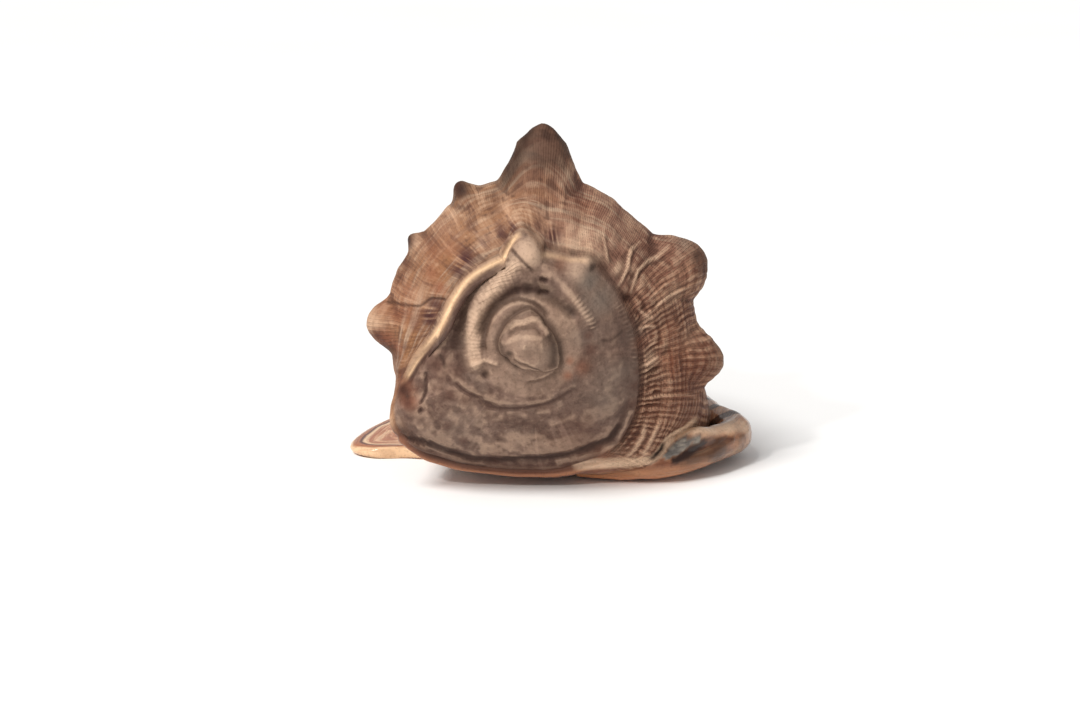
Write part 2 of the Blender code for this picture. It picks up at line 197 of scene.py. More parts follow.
# Bumps (positive) and pits (negative): angle, reach, radius, height
SPOTS = (
    (89.5, 34.0, 5.5, 3.0), (54, 36.0, 2.0, 0.8), (48.5, 36.0, 1.6, -1.3), (22, 39.2, 1.8, -1.1),
    (194, 6.7, 1.7, -1.0), (355, 9.0, 3.0, -0.8), (214, 18.8, 1.6, -1.0), (214, 57.0, 7.0, 1.2),
    (93, 67.2, 2.2, 0.8), (205, 8.6, 1.8, -1.2), (321, 73.0, 9.0, -5.0), (213.5, 47.2, 0.9, -0.6),
    (37.5, 40.5, 2.0, 0.8), (57.0, 41.0, 2.4, 0.6),
)

# Rolls beside the terrace's edge: height, distance outside the edge, half width
RIDGE_ROLLS = ((2.3, -0.7, 0.85), (-0.35, -2.9, 1.1), (-0.5, 2.6, 1.3))
SKIRT_ROLLS = ((0.9, 2.4, 1.2), (-0.7, 0.2, 0.9), (0.5, -2.2, 1.3))

# Sole outline seen from below, round from the front
SOLE_OUTLINE = (
    (0.0, -38.0), (24.0, -44.0), (43.0, -40.0), (55.0, -29.0),
    (62.0, -12.0), (63.0, 9.0), (58.0, 35.0), (46.0, 60.0),
    (28.0, 80.0), (6.0, 88.0), (-16.0, 83.0), (-36.0, 66.0),
    (-55.0, 44.0), (-70.0, 22.0), (-78.5, 2.0), (-79.7, -12.5),
    (-71.5, -20.0), (-57.0, -20.0), (-42.0, -25.0), (-23.0, -33.0),
)
SOLE_RIM = (
    (0.0, 0.0), (0.3, 0.0), (0.6, 0.0), (0.8, 0.0), (0.90, 0.0), (0.94, 0.1), (0.965, 0.4), (0.99, 1.5),
    (1.0, 3.4), (0.997, 4.9), (0.985, 6.2), (0.96, 7.2), (0.90, 7.6), (0.6, 7.6), (0.0, 7.6),
)
LIP_SWELL, LOBE_SWELL = 0.55, -0.4

# Rolled lip: centre line across, forward, up, then the roll's half height
LIP_ROLL = (
    (10.0, -46.0, 4.6, 3.8), (28.0, -50.0, 6.2, 5.4), (46.0, -48.5, 8.9, 6.8),
    (60.5, -38.5, 10.9, 6.8), (72.4, -20.0, 10.6, 6.6), (65.8, 3.0, 9.2, 6.6),
    (60.5, 27.0, 8.2, 6.6), (51.5, 49.0, 7.4, 6.3), (38.5, 67.0, 6.6, 6.0),
    (23.0, 79.0, 6.6, 5.6), (11.0, 85.0, 10.0, 5.0),
)
# Crest, chip and hollow on the lip roll: height, place along it, half length, side and half width
# in degrees
LIP_MARKS = (
    (4.4, 2.4, 0.45, 66.0, 24.0), (-1.0, 2.3, 0.34, 48.0, 10.0), (-2.2, 2.5, 0.26, 27.0, 9.0),
)
# Aperture: place, slot centre, slot half width, roof, chamber half width, chamber middle
APERTURE = (
    (-37.0, 24.0, 3.4, 23.0, 3.4, 18.0), (-30.0, 23.5, 5.2, 34.0, 8.0, 20.0),
    (-15.0, 22.5, 6.2, 52.0, 19.0, 30.0), (5.0, 20.5, 6.4, 56.0, 21.0, 32.0),
    (25.0, 17.5, 6.2, 50.0, 17.0, 29.0), (45.0, 13.5, 5.8, 40.0, 11.0, 25.0),
    (62.0, 9.0, 5.4, 33.0, 6.4, 22.0), (76.0, 5.0, 4.8, 27.0, 4.8, 19.0),
    (86.0, 2.8, 4.2, 25.0, 4.2, 18.5), (93.0, 1.8, 3.6, 33.0, 3.6, 20.0),
    (98.5, 1.5, 3.4, 44.0, 3.4, 22.0), (108.0, 1.5, 3.4, 60.0, 3.4, 24.0),
)
TEETH_FROM, TEETH_TO, TEETH, TOOTH_HEIGHT = -26.0, 56.0, 11, 1.6

# ---------------------------------------------------------------- colour places
# Spots: dial angle, reach, radius, strength
# Cream patches; those at (60, 61) and (46, 60) are painted light on the top right edge
CREAM_SPOTS = (
    (89, 33, 6, 0.6), (58, 32, 4, 0.5), (64, 38.5, 4, 0.7), (57, 39, 3.5, 0.6), (50, 40, 3, 0.5),
    (72, 37, 3.5, 0.6), (62, 43, 3, 0.8), (60, 61, 6, 0.4), (46, 60, 6, 0.4), (104, 57, 5, 0.35),
    (130, 55, 5, 0.35), (126, 58, 5, 0.3), (69, 42.5, 2.5, 0.6), (55, 45, 2.6, 0.6), (48, 46, 2.4, 0.4),
    (37.5, 40.5, 2, 0.6), (45, 39.6, 1.6, 0.5), (350, 45.5, 2.2, 0.5), (38, 42, 2.2, 0.5),
    (33, 45, 1.6, 0.5), (27, 43, 1.6, 0.4), (178, 58, 4, 0.6), (110, 33, 4, 0.25), (160, 43, 4, 0.3),
    (215, 58.5, 2.5, 0.45), (128, 50, 6, 0.25), (262, 40, 4, 0.25), (250, 44, 3, 0.25),
    (304, 56, 4, 0.3), (348.2, 46.4, 2.4, 0.5), (8.7, 44.3, 2.2, 0.45), (66.4, 38.8, 2.6, 0.6),
    (71.5, 36.6, 2.0, 0.5), (116, 38, 2.2, 0.4), (144, 52, 5, 0.2), (355, 60.5, 4, 0.35),
    (14, 55, 4, 0.3),
)
AMBER_SPOTS = (
    (203.6, 49.6, 3.6, 1.0), (207.5, 49.8, 3.4, 1.0), (200, 49, 2.4, 0.7), (185.5, 53.8, 3.8, 1.0),
    (188, 49.5, 2.5, 0.7), (172, 56, 5, 0.45), (166, 58.5, 4, 0.4), (162, 47, 5, 0.45),
    (174, 49, 4, 0.5), (140, 46, 5, 0.4), (132, 43, 4, 0.4), (352, 58, 6, 0.4), (338, 62, 9, 0.4),
    (0, 52, 5, 0.35), (147, 42, 4, 0.5), (348, 53.6, 3.6, 0.8), (344, 56, 3.5, 0.5), (151, 37, 3, 0.6),
    (171, 46, 5, 0.5), (165, 50, 5, 0.35), (130, 47, 5, 0.3), (322, 18, 1.8, 0.6), (340, 16, 1.6, 0.5),
    (337, 21, 3.2, 0.45), (300, 54, 3, 0.3), (350, 54, 4, 0.5), (345, 62, 8, 0.4), (330, 58, 8, 0.35),
    (320, 80, 8, 0.35), (68, 31, 2.5, 0.3), (357, 40.5, 2.4, 0.5), (66, 50, 5, 0.25),
)
MAROON_SPOTS = (
    (168.5, 37.0, 4.0, 1.0), (161, 36, 3.4, 0.8), (128.5, 37, 4.0, 1.0), (135.5, 35.8, 3.4, 0.8),
    (176, 41, 2.6, 0.5), (104, 39.6, 3, 0.8), (98, 41.4, 2.6, 0.85), (77, 38.7, 3.2, 0.9),
    (114, 38.6, 2.4, 0.5), (86, 41.5, 2.4, 0.5),
)
STAIN_SPOTS = (
    (207, 37, 2.6, 0.5), (213, 34, 2.8, 0.6), (221, 30.5, 2.4, 0.5), (256, 50, 3, 0.7),
    (21, 68, 4.5, 0.5), (45, 38, 2.4, 0.7), (23, 38.6, 3, 0.55), (15, 43, 3, 0.4), (8, 50, 4, 0.4),
    (356, 22.5, 2.6, 0.6), (9, 21.8, 1.8, 0.5), (238, 45.5, 1.8, 0.5), (227, 43.7, 1.8, 0.45),
    (92, 55, 5, 0.3), (104, 50, 4, 0.3), (70, 47, 4, 0.3), (208.5, 50.5, 2.2, 0.9),
    (203.2, 49.8, 2.4, 1.0), (185.5, 54.5, 3.2, 0.6), (184, 56.5, 2.4, 0.8), (192.5, 51, 3.2, 0.6),
    (197, 49.8, 2.4, 0.5), (193.5, 33, 6, 0.55), (298, 40, 8, 0.5), (8, 33, 7, 0.35),
    (200, 29, 4, 0.35), (117, 58, 2.4, 0.9), (146, 55.5, 2.2, 0.9), (330, 76, 8, 0.5),
    (342, 66, 6, 0.35), (153, 51.8, 2.4, 0.75), (160, 52, 2.2, 0.45), (23.5, 38.4, 2.4, 0.6),
    (355, 42.5, 2.2, 0.7), (342, 42, 1.8, 0.5), (355, 34, 5, 0.35), (335, 40, 4, 0.3),
    (335, 43, 2.0, 0.6), (326, 46, 2.0, 0.5),
)
# Dark marks; the pits are dark partly from painted shade, and the pocket at (194, 7), the moat's top from
# 80 to 101 degrees and the spot by the cap at (203, 10.5) are painted shade
DARK_SPOTS_AND_SHADE = (
    (48.5, 36.0, 1.5, 0.35), (22, 39.0, 1.8, 0.25), (203.8, 50.0, 2.6, 0.5), (213.5, 47.2, 0.8, 0.8),
    (206, 49.5, 1.3, 0.7), (257, 50, 1.6, 0.5), (214, 18.8, 1.3, 0.6), (194, 7, 1.6, 0.6),
    (351, 2.7, 0.5, 0.5), (190, 53, 2.4, 0.5), (23, 67.7, 1.5, 0.5), (218, 60, 2.5, 0.5),
    (116, 57, 2.2, 0.6), (146, 56, 2.2, 0.6), (101, 20.6, 2.6, 0.6), (91, 20.8, 2.8, 0.7),
    (80, 20.4, 2.4, 0.6), (203, 10.5, 1.6, 0.4),
)
# Grey patches; the grey at (352, 9) is painted shade on the spire cap's right side, and the one at (28,
# 65.5) is partly painted highlight on the knob's top
CHALK_SPOTS = (
    (31, 30, 7, 0.8), (46, 31.5, 5, 0.95), (40, 27, 3.5, 0.6), (8, 19, 4, 0.4), (1, 38, 6, 0.45),
    (337, 35, 9, 0.45), (322, 36, 8, 0.4), (10, 30, 7, 0.4), (255, 62, 9, 0.25), (235, 42, 8, 0.2),
    (40, 20, 3.5, 0.35), (352, 9, 3.0, 0.4), (28, 65.5, 3, 0.5),
)
# Dark lines; the moat, the patch round the slots and the lines down the spire cap's lower left and right
# sides are painted shade, and the slots are dark partly from painted shade
DARK_LINES_AND_SHADE = (
    (((187, 32), (195, 31)), 0.8, 0.6), (OLD_LIP, 0.5, 0.4), (CRACK, 0.55, 0.55), (MOAT, 1.8, 0.45),
    (FOLD_TOP, 1.5, 0.6), (FOLD_LOW, 1.4, 0.6), (HORN_SHADE, 3.0, 0.7), (CAP_ARCH, 0.6, 0.25),
    (((170, 10.4), (192, 9.8), (212, 8.2), (236, 7.4)), 1.5, 0.55), (CAP_FOOT, 0.5, 0.5),
    (SLOTS[0], 0.8, 0.75), (SLOTS[1], 0.8, 0.65), (((84, 23.0), (70, 22.0)), 2.4, 0.4),
    (KNOB_LINE, 0.45, 0.6), (((-34, 10.8), (-8, 9.5), (12, 9.3), (32, 9.2)), 1.8, 0.6),
    (((6, 34), (2, 29.5), (3.5, 26)), 0.6, 0.4),
)
# Pale raised lines on the spire end: partly their own colour, partly painted highlight on their lit tops
PALE_AND_HIGHLIT_LINES = (
    (BROW, 1.0, 0.5), (CROWN, 0.8, 0.85), (CROWN_END, 0.8, 0.6), (SPINE, 1.1, 0.6), (TAIL, 1.2, 0.25),
)
# Knob tips that are worn darker, with painted shade down the right sides of the knobs at 27 and 18 degrees:
# angle, half width, reach where it starts and is full, strength
TIPS = (
    (84.0, 12.0, 52.0, 66.0, 0.92), (117.0, 4.5, 51.0, 56.0, 0.85), (145.0, 4.0, 51.0, 55.0, 0.85),
    (27.0, 12.0, 64.0, 75.0, 0.55),
    (18.0, 9.0, 64.0, 69.0, 0.55), (350.0, 9.0, 66.0, 72.0, 0.35),
)
# The lip's crest, and on it the worn chip and the hollow below: places across, forward, up
CREST = (
    (10.0, -58.5, 9.6), (18.9, -59.6, 10.4), (29.5, -58.6, 10.6), (37.5, -57.4, 11.2),
    (41.4, -55.6, 14.4), (43.9, -53.0, 17.4), (47.8, -50.4, 19.4), (54.5, -48.8, 20.8),
    (61.9, -41.4, 18.9), (67.2, -35.4, 18.0), (71.0, -30.1, 17.2), (75.0, -26.0, 14.6),
)
CHIPS = (
    (((43.6, -55.2, 11.4), (47.0, -53.8, 13.8), (51.5, -52.2, 16.6), (56.0, -50.4, 17.0)), 1.5),
    (((46.5, -54.2, 13.6), (50.8, -52.6, 16.4)), 2.5),
)
# Dark brown in the hollow below the chip
LIP_HOLLOW = ((46.8, -55.6, 10.2), (50.2, -54.1, 11.6), (54.2, -51.1, 13.4), (57.7, -48.9, 14.6))
TAWNY = ((52.0, -52.5, 9.5), (56.6, -48.6, 12.1), (64.6, -44.0, 11.0))
PALE_END = ((74.0, -33.0, 10.0), (77.0, -28.0, 12.0), (76.0, -20.0, 12.0))
LOW_EDGE = (
    (8.0, -53.0, 3.5), (24.0, -56.0, 3.5), (36.0, -56.5, 4.0), (48.0, -54.0, 5.0), (58.0, -48.0, 5.5),
)
# Painted shadow in the gap between the lip's crest and the body: places across, forward, up
GAP_SHADOW = ((38.0, -58.0, 12.4), (40.6, -56.7, 13.9), (42.0, -55.4, 15.6))


# ---------------------------------------------------------------- curves and distances
def curve_through(before, start, end, after, share):
    """Smooth value between start and end, bending with the two neighbours."""
    bend = 2 * before - 5 * start + 4 * end - after
    twist = 3 * (start - end) + after - before
    return start + 0.5 * share * ((end - before) + share * (bend + share * twist))


def on_dial(values, angle):
    """Values at the angles, from values spaced evenly round the dial."""
    values = np.asarray(values)
    place = np.mod(angle, 360.0) / 360.0 * len(values)
    step = np.floor(place).astype(int)
    near = [values[(step + i) % len(values)] for i in (-1, 0, 1, 2)]
    return curve_through(*near, place - step)


def along(points, place):
    """Point of a smooth open curve; place counts in spans."""
    step = min(int(place), len(points) - 2)
    picks = [points[min(max(step + i, 0), len(points) - 1)] for i in (-1, 0, 1, 2)]
    return curve_through(*(np.asarray(p, float) for p in picks), place - step)


def hump(distance, sharpness):
    """One in the middle, falling to nothing at a distance of one."""
    inside = np.clip(np.abs(distance), 0.0, 1.0)
    return np.cos(inside * math.pi / 2) ** sharpness


def bell(distance, width):
    return np.exp(-((distance / width) ** 2))


def ease(value, start, end):
    """Nothing at start, one at end, smooth between them."""
    share = np.clip((value - start) / (end - start), 0.0, 1.0)
    return share * share * (3 - 2 * share)


def within(gap, inner, outer):
    """One closer than inner, nothing beyond outer."""
    return 1.0 - ease(gap, inner, outer)


def turn_gap(angle, other):
    return np.mod(angle - other + 180.0, 360.0) - 180.0


def sector(angle, start, end, soft=6.0):
    """One between two dial angles, going anticlockwise, fading over soft degrees."""
    half = (end - start) / 2
    return within(np.abs(turn_gap(angle, start + half)), half - soft / 2, half + soft / 2)


def on_plane(angle, reach):
    """Place in the dial's plane: across, and up."""
    turn = np.radians(angle)
    return np.stack([reach * np.cos(turn), reach * np.sin(turn)], axis=-1)


def nearest_on_path(places, path):
    """Distance to a bent line in a plane or in space, and how far along it the nearest place is."""
    path = np.array(path, float)
    best, where, travelled = np.full(places.shape[:-1], np.inf), np.zeros(places.shape[:-1]), 0.0
    for start, run in zip(path, np.diff(path, axis=0)):
        length = math.hypot(*run)
        share = np.clip((places - start) @ run / length**2, 0.0, 1.0)
        gap = np.linalg.norm(places - start - share[..., None] * run, axis=-1)
        where = np.where(gap < best, travelled + share * length, where)
        best = np.minimum(best, gap)
        travelled += length
    return best, where


def path_gap(places, path):
    return nearest_on_path(places, path)[0]


def line_gap(flat, line):
    """Distance in the dial's plane to a bent line of (angle, reach) points."""
    return path_gap(flat, on_plane(*np.array(line, float).T))


def spot_gap(flat, angle, reach):
    return np.linalg.norm(flat - on_plane(angle, reach), axis=-1)


def wrinkles(flat, spread_out):
    """Tapered folds: one on a fold's line, fading out over its width and towards its ends."""
    total = 0.0
    for line, width, height in FOLDS:
        path = on_plane(*np.array(line, float).T)
        gap, place = nearest_on_path(flat, path)
        place = place / np.linalg.norm(np.diff(path, axis=0), axis=-1).sum()
        taper = ease(place, 0.0, 0.3) * within(place, 0.7, 1.0)
        total = np.maximum(total, height * (0.25 + 0.75 * taper) * bell(gap, width * spread_out))
    return total


def rough(points, scale, seed):
    """Smooth random height, one value for each point, about -1 to 1."""
    flat = points.reshape(-1, 3) / scale + seed * 7.3
    return np.array([noise.noise(Vector(p)) for p in flat]).reshape(points.shape[:-1])


def thread(number, sharpness=1.0):
    """One on each whole number, nothing halfway between."""
    return (0.5 + 0.5 * np.cos(2 * math.pi * number)) ** sharpness


# ---------------------------------------------------------------- the coiled body
def terrace_reach(angle):
    reach = on_dial(TERRACE_REACH, angle)
    for middle, height, width in TERRACE_KNOBS:
        reach = reach + height * hump(turn_gap(angle, middle) / width, 1.5)
    return reach


def ring(centre, reach, angle, forward, lean=0.0):
    """Points round a centre (across, up), all at one place forward unless the ring leans back."""
    turn = np.radians(angle)
    tip = math.radians(lean)
    rise = reach * np.sin(turn)
    return np.stack([
        centre[0] + reach * np.cos(turn),
        forward - rise * math.sin(tip) + np.zeros_like(turn),
        centre[1] + rise * math.cos(tip),
    ], axis=-1)


def body_stations(angle):
    """Rings that the body's surface follows, from the apex to the canal's tip."""
    edge, groove = terrace_reach(angle), on_dial(GROOVE_REACH, angle)
    edge_y = -on_dial(TERRACE_DEPTH, angle)
    middle, middle_y = groove * 0.45 + edge * 0.55, (edge_y + GROOVE_Y) / 2 - 2.0
    foot, foot_y = edge + 1.8, edge_y + on_dial(STEP_DEPTH, angle)
    shoulder, rear = on_dial(SHOULDER_REACH, angle), on_dial(REAR_REACH, angle)
    front = SPIRE_RINGS + (
        (groove, GROOVE_Y),
        (middle, middle_y),
        (edge - 3.5, edge_y + 3.5 * (middle_y - edge_y) / (edge - middle)),
        (edge, edge_y),
        (foot, foot_y),
        (foot * 0.44 + shoulder * 0.56, (foot_y + SHOULDER_Y) / 2 - 3.5),
        (shoulder, SHOULDER_Y),
    )
    rings = [np.tile(np.array(APEX), (len(angle), 1))]
    rings += [ring((SPIRE_X, SPIRE_Z), reach, angle, forward) for reach, forward in front]
    for forward, share, across, up, lean in BODY_STATIONS:
        change = min(1.0, (forward - SHOULDER_Y) / 60.0)
        reach = shoulder + (rear - shoulder) * change
        rings.append(ring((across, up), reach * share, angle, forward, lean))
    rings.append(np.tile(np.array(CANAL_TIP), (len(angle), 1)))
    return np.array(rings)


def knob_height(angle, forward):
    total = np.zeros_like(forward)
    for middle, place, height, width, length, sharpness in KNOBS:
        far = np.hypot(turn_gap(angle, middle) / width, (forward - place) / length)
        total += height * hump(far, sharpness)
    return total


def seam_offset(angle, reach, seam):
    """Signed distance outside a seam, and how much of the seam there is at that angle."""
    first, last = seam[0][0], seam[-1][0]
    unwound = first + np.mod(angle - first, 360.0)
    line = np.interp(unwound, [point[0] for point in seam], [point[1] for point in seam])
    if last - first > 359.0:
        return reach - line, np.ones_like(reach)
    return reach - line, ease(unwound, first, first + 12.0) * within(unwound, last - 12.0, last)


def seam_relief(angle, reach):
    """Step and groove where each turn of the spire meets the next."""
    relief = np.zeros_like(reach)
    for seam, step, width in SEAMS:
        gap, there = seam_offset(angle, reach, seam)
        side = -gap / np.hypot(gap, 0.7) * np.exp(-np.abs(gap) / 2.6)
        relief += there * (0.65 * step * side - (0.05 + 0.22 * step) * bell(gap - 0.3, width))
    return relief


def terrace_relief(points, angle, reach, flat):
    """Height of the whorls, knobs and marks on the flat inner end."""
    relief = seam_relief(angle, reach) * (reach < 36)
    for line, width, height in LINES:
        relief += height * bell(line_gap(flat, line), width)
    relief += 0.95 * wrinkles(flat, 1.0) - 0.35 * wrinkles(flat, 2.6)
    for middle, place, radius, height in SPOTS:
        relief += height * bell(spot_gap(flat, middle, place), radius)
    tail_ticks = bell(reach - 24.0, 1.5) * sector(angle, 14.0, 46.0)
    relief += 0.5 * thread(angle / 3.8, 1.5) * tail_ticks
    band = bell(line_gap(flat, BAND), 3.4)
    relief += (0.3 * thread(angle / 4.0) + 0.3 * thread(reach / 1.6) + 0.5 * rough(points, 1.8, 9)) * band
    edge_ticks = bell(reach - terrace_reach(angle) + 1.2, 1.6) * sector(angle, -15.0, 24.0)
    relief += 0.2 * thread(angle / 2.6) * edge_ticks
    plate = ease(reach, 18.0, 24.0)
    relief += 0.18 * rough(points, 8.0, 6) + 0.22 * rough(points, 2.4, 7) * (1.0 - 0.8 * plate)
    return relief


def ramp_relief(points, angle, beyond, growth, cord):
    """Height of the ribs and cords on the last whorl."""
    ribs = thread(growth * RIBS_PER_LINE + 0.5 * rough(points, 5.0, 11), 0.8)
    strength = np.clip(0.65 + 0.8 * rough(points, 9.0, 12), 0.15, 1.3)
    lower_right = sector(angle, 296.0, 380.0, 24.0)
    by_edge = bell(beyond - 6.0, 5.0) * sector(angle, 318.0, 346.0, 12.0)
    rib_height = 0.34 * lower_right * (1.0 - 0.45 * ease(beyond, 16.0, 24.0)) + 0.07 + 0.5 * by_edge
    relief = rib_height * strength * ribs
    cords = thread(cord / 1.8) * np.clip(0.7 + rough(points, 7.0, 13), 0.1, 1.3)
    relief += (0.10 + 0.28 * sector(angle, 296.0, 345.0, 24.0)) * cords
    near = within(beyond, 8.0, 16.0)
    relief += 1.2 * near * rough(points, 3.6, 4) * sector(angle, 325.0, 400.0, 20.0)
    relief += 0.6 * rough(points, 5.5, 14) * (1.0 - lower_right)
    return relief


def front_relief(points, angle, growth, cord):
    """Height added to the spire end and the ramp of the last whorl."""
    flat = points[..., ::2] - (SPIRE_X, SPIRE_Z)
    reach = np.hypot(flat[..., 0], flat[..., 1])
    beyond = reach - terrace_reach(angle)
    front = within(points[..., 1], -44.0, -28.0)
    outer = ease(beyond, 0.6, 3.0)
    relief = terrace_relief(points, angle, reach, flat) * front
    ridge = sector(angle, 96.0, 201.0, 8.0) * front
    skirt = sector(angle, 214.0, 300.0, 10.0) * front
    for rolls, there in ((RIDGE_ROLLS, ridge), (SKIRT_ROLLS, skirt)):
        for height, place, width in rolls:
            relief += height * bell(beyond - place, width) * there
    smooth = 1.0 - sector(angle, 216.0, 300.0, 14.0)
    relief += ramp_relief(points, angle, beyond, growth, cord) * outer * (0.3 + 0.7 * front) * smooth
    return relief


def body_points():
    """Grid of the body's points, with its dial angles, growth-line numbers and cord numbers."""
    stretches = [np.linspace(a, b, n, endpoint=False) for a, b, n in COLUMN_STRETCHES]
    angle = np.concatenate(stretches + [[COLUMN_STRETCHES[0][0] + 360.0]])
    stations = body_stations(angle)
    rows = []
    for span, count in enumerate(ROWS_PER_SPAN):
        rows += [along(stations, span + i / count) for i in range(count)]
    points = np.array(rows + [stations[-1]])
    turn = np.radians(angle)
    outward = np.stack([np.cos(turn), np.zeros_like(turn), np.sin(turn)], axis=-1)
    dial = np.broadcast_to(angle, points.shape[:2])
    step = np.linalg.norm(np.diff(points, axis=0), axis=-1)
    cord = np.concatenate([[0.0], np.cumsum(np.median(step[:, 40:260], axis=1))]) / CORD_SPACING
    points += outward[None] * knob_height(dial, points[..., 1])[..., None]
    reach = np.hypot(points[..., 0] - SPIRE_X, points[..., 2] - SPIRE_Z)
    beyond = np.maximum(reach - terrace_reach(dial), 0.0)
    beyond = np.where(points[..., 1] > SHOULDER_Y, 40.0, beyond)
    swung = dial - SWING * (1.0 - np.exp(-beyond / SWING_REACH)) + 0.7 * rough(points, 8.0, 21)
    growth = swung * GROWTH_LINES / 360.0
    cord = cord[:, None] + 0.35 * rough(points, 9.0, 22)
    growth[:, -1] = growth[:, 0] + GROWTH_LINES
    cord[:, -1] = cord[:, 0]
    around = np.roll(points[:, :-1], -1, axis=1) - np.roll(points[:, :-1], 1, axis=1)
    around = np.concatenate([around, around[:, :1]], axis=1)
    normal = np.cross(np.gradient(points, axis=0), around)
    normal /= np.maximum(np.linalg.norm(normal, axis=-1, keepdims=True), 1e-6)
    relief = front_relief(points, dial, growth, cord)
    relief += 0.45 * rough(points, 9.0, 1) + 0.14 * rough(points, 2.6, 2)
    relief[0] = relief[0].mean()
    relief[-1] = 0.0
    relief[:, -1] = relief[:, 0]
    normal[0] = (0.0, -1.0, 0.0)
    points += normal * relief[..., None]
    points[..., 2] = np.maximum(points[..., 2], SOLE_Z)
    return points, dial, growth, cord


# ---------------------------------------------------------------- building closed skins
def skin(name, points, uv_box, material, uv_across=None, growth=None, cord=None):
    """Closed skin over a grid whose first and last columns meet and whose end rows are single points."""
    rows, columns = points.shape[0] - 1, points.shape[1] - 1
    if uv_across is None:
        uv_across = np.linspace(0, 1, columns + 1)
    work = bmesh.new()
    bmesh.ops.create_grid(work, x_segments=columns, y_segments=rows, size=1.0)
    uv = work.loops.layers.uv.new("OFBake")
    lines = work.loops.layers.uv.new("threads")
    for vertex in work.verts:
        column = round((vertex.co.x + 1) / 2 * columns)
        row = round((vertex.co.y + 1) / 2 * rows)
        for corner in vertex.link_loops:
            corner[uv].uv = (
                uv_box[0] + (uv_box[2] - uv_box[0]) * uv_across[column],
                uv_box[1] + (uv_box[3] - uv_box[1]) * row / rows,
            )
            if cord is not None:
                corner[lines].uv = (growth[row, column], cord[row, column])
        vertex.co = Vector(points[row, column]) * MM
    rim = [v for v in work.verts if v.is_boundary]
    bmesh.ops.remove_doubles(work, verts=rim, dist=1e-7)
    bmesh.ops.recalc_face_normals(work, faces=work.faces)
    for face in work.faces:
        face.smooth = True
        face.material_index = material
    return add_mesh(name, work)


def add_mesh(name, work):
    """Turn a bmesh into an object in the scene."""
    mesh = bpy.data.meshes.new(name)
    work.to_mesh(mesh)
    work.free()
    solid = bpy.data.objects.new(name, mesh)
    bpy.context.scene.collection.objects.link(solid)
    return solid


def capped(rings):
    """Rings with a single point added at each end, so that the skin closes."""
    rings = np.array(rings)
    first, last = [np.tile(rings[i, :-1].mean(axis=0), (1, rings.shape[1], 1)) for i in (0, -1)]
    return np.concatenate([first, rings, last])


def make_body():
    points, dial, growth, cord = body_points()
    share = (dial[0] - dial[0, 0]) / 360.0
    return skin("body", points, (0.0, 0.36, 1.0, 1.0), RIBBED, share, growth, cord)


def sole_line(steps):
    """Smooth closed outline of the sole, with a number of steps between its points."""
    line, count = [], len(SOLE_OUTLINE)
    for i in range(count):
        near = [np.array(SOLE_OUTLINE[(i + j) % count]) for j in (-1, 0, 1, 2)]
        line += [curve_through(*near, step / steps) for step in range(steps)]
    return np.array(line + [line[0]])


def make_sole():
    outline = sole_line(10)
    swell = 1.0 + np.maximum(LIP_SWELL * outline[:, 0] / 67.0, -LOBE_SWELL * outline[:, 0] / 79.0)
    rings = []
    for shrink, height in SOLE_RIM:
        lift = height * swell if shrink else np.full(len(outline), height)
        rings.append(np.stack([outline[:, 0] * shrink, outline[:, 1] * shrink, lift], axis=-1))
    return skin("sole", np.array(rings), (0.0, 0.0, 0.5, 0.33), CALLUS)


def lip_relief(place, turn):
    """Crest along the roll's top, with a worn chip and the hollow below it; turn is round the roll."""
    relief = 0.9 * bell(turn_gap(turn, 78.0), 16.0) * ease(place, 0.3, 1.2) * within(place, 4.5, 6.0)
    for height, middle, length, side, width in LIP_MARKS:
        relief += height * bell(place - middle, length) * bell(turn_gap(turn, side), width)
    around = np.stack([np.cos(np.radians(turn)), np.sin(np.radians(turn)), 0 * turn + place * 2.2], axis=-1)
    return relief + 0.5 * rough(around, 1.0, 31) + 0.2 * rough(around, 0.35, 32)


def make_lip_roll():
    spans, sides, per_span = len(LIP_ROLL) - 1, 48, 18
    turn = np.linspace(0, 2 * math.pi, sides + 1)
    rings = []
    for step in range(spans * per_span + 1):
        place = step / per_span
        across, forward, up, radius = along(LIP_ROLL, place)
        travel = along(LIP_ROLL, min(place + 0.05, spans)) - along(LIP_ROLL, max(place - 0.05, 0.0))
        travel = travel[:2] / np.hypot(*travel[:2])
        radius = radius + lip_relief(place, np.degrees(turn))
        out = np.cos(turn) * radius * 1.05
        height = np.maximum(up + np.sin(turn) * radius, 0.0)
        rings.append(np.stack([across + travel[1] * out, forward - travel[0] * out, height], axis=-1))
    return skin("lip_roll", capped(rings), (0.52, 0.0, 1.0, 0.2), CALLUS)


def make_aperture():
    rows = 140
    rings = []
    for row in range(rows + 1):
        forward, across, half, roof, chamber, middle = along(APERTURE, row / rows * (len(APERTURE) - 1))
        tooth = 0.0
        if TEETH_FROM < forward < TEETH_TO:
            phase = (forward - TEETH_FROM) / (TEETH_TO - TEETH_FROM) * TEETH
            tooth = TOOTH_HEIGHT * (0.5 - 0.5 * math.cos(2 * math.pi * phase))
        side = [(half - tooth, -6.0), (half - tooth, 3.5), (half, 9.0), (half * 0.4 + chamber * 0.6, 13.5)]
        side += [(chamber, middle), (chamber * 0.72, middle * 0.28 + roof * 0.72), (chamber * 0.3, roof)]
        section = [(across + out, forward, up) for out, up in side]
        section += [(across - out, forward, up) for out, up in reversed(side)]
        rings.append(section + section[:1])
    return skin("aperture", capped(rings), (0.52, 0.21, 1.0, 0.34), INNER)


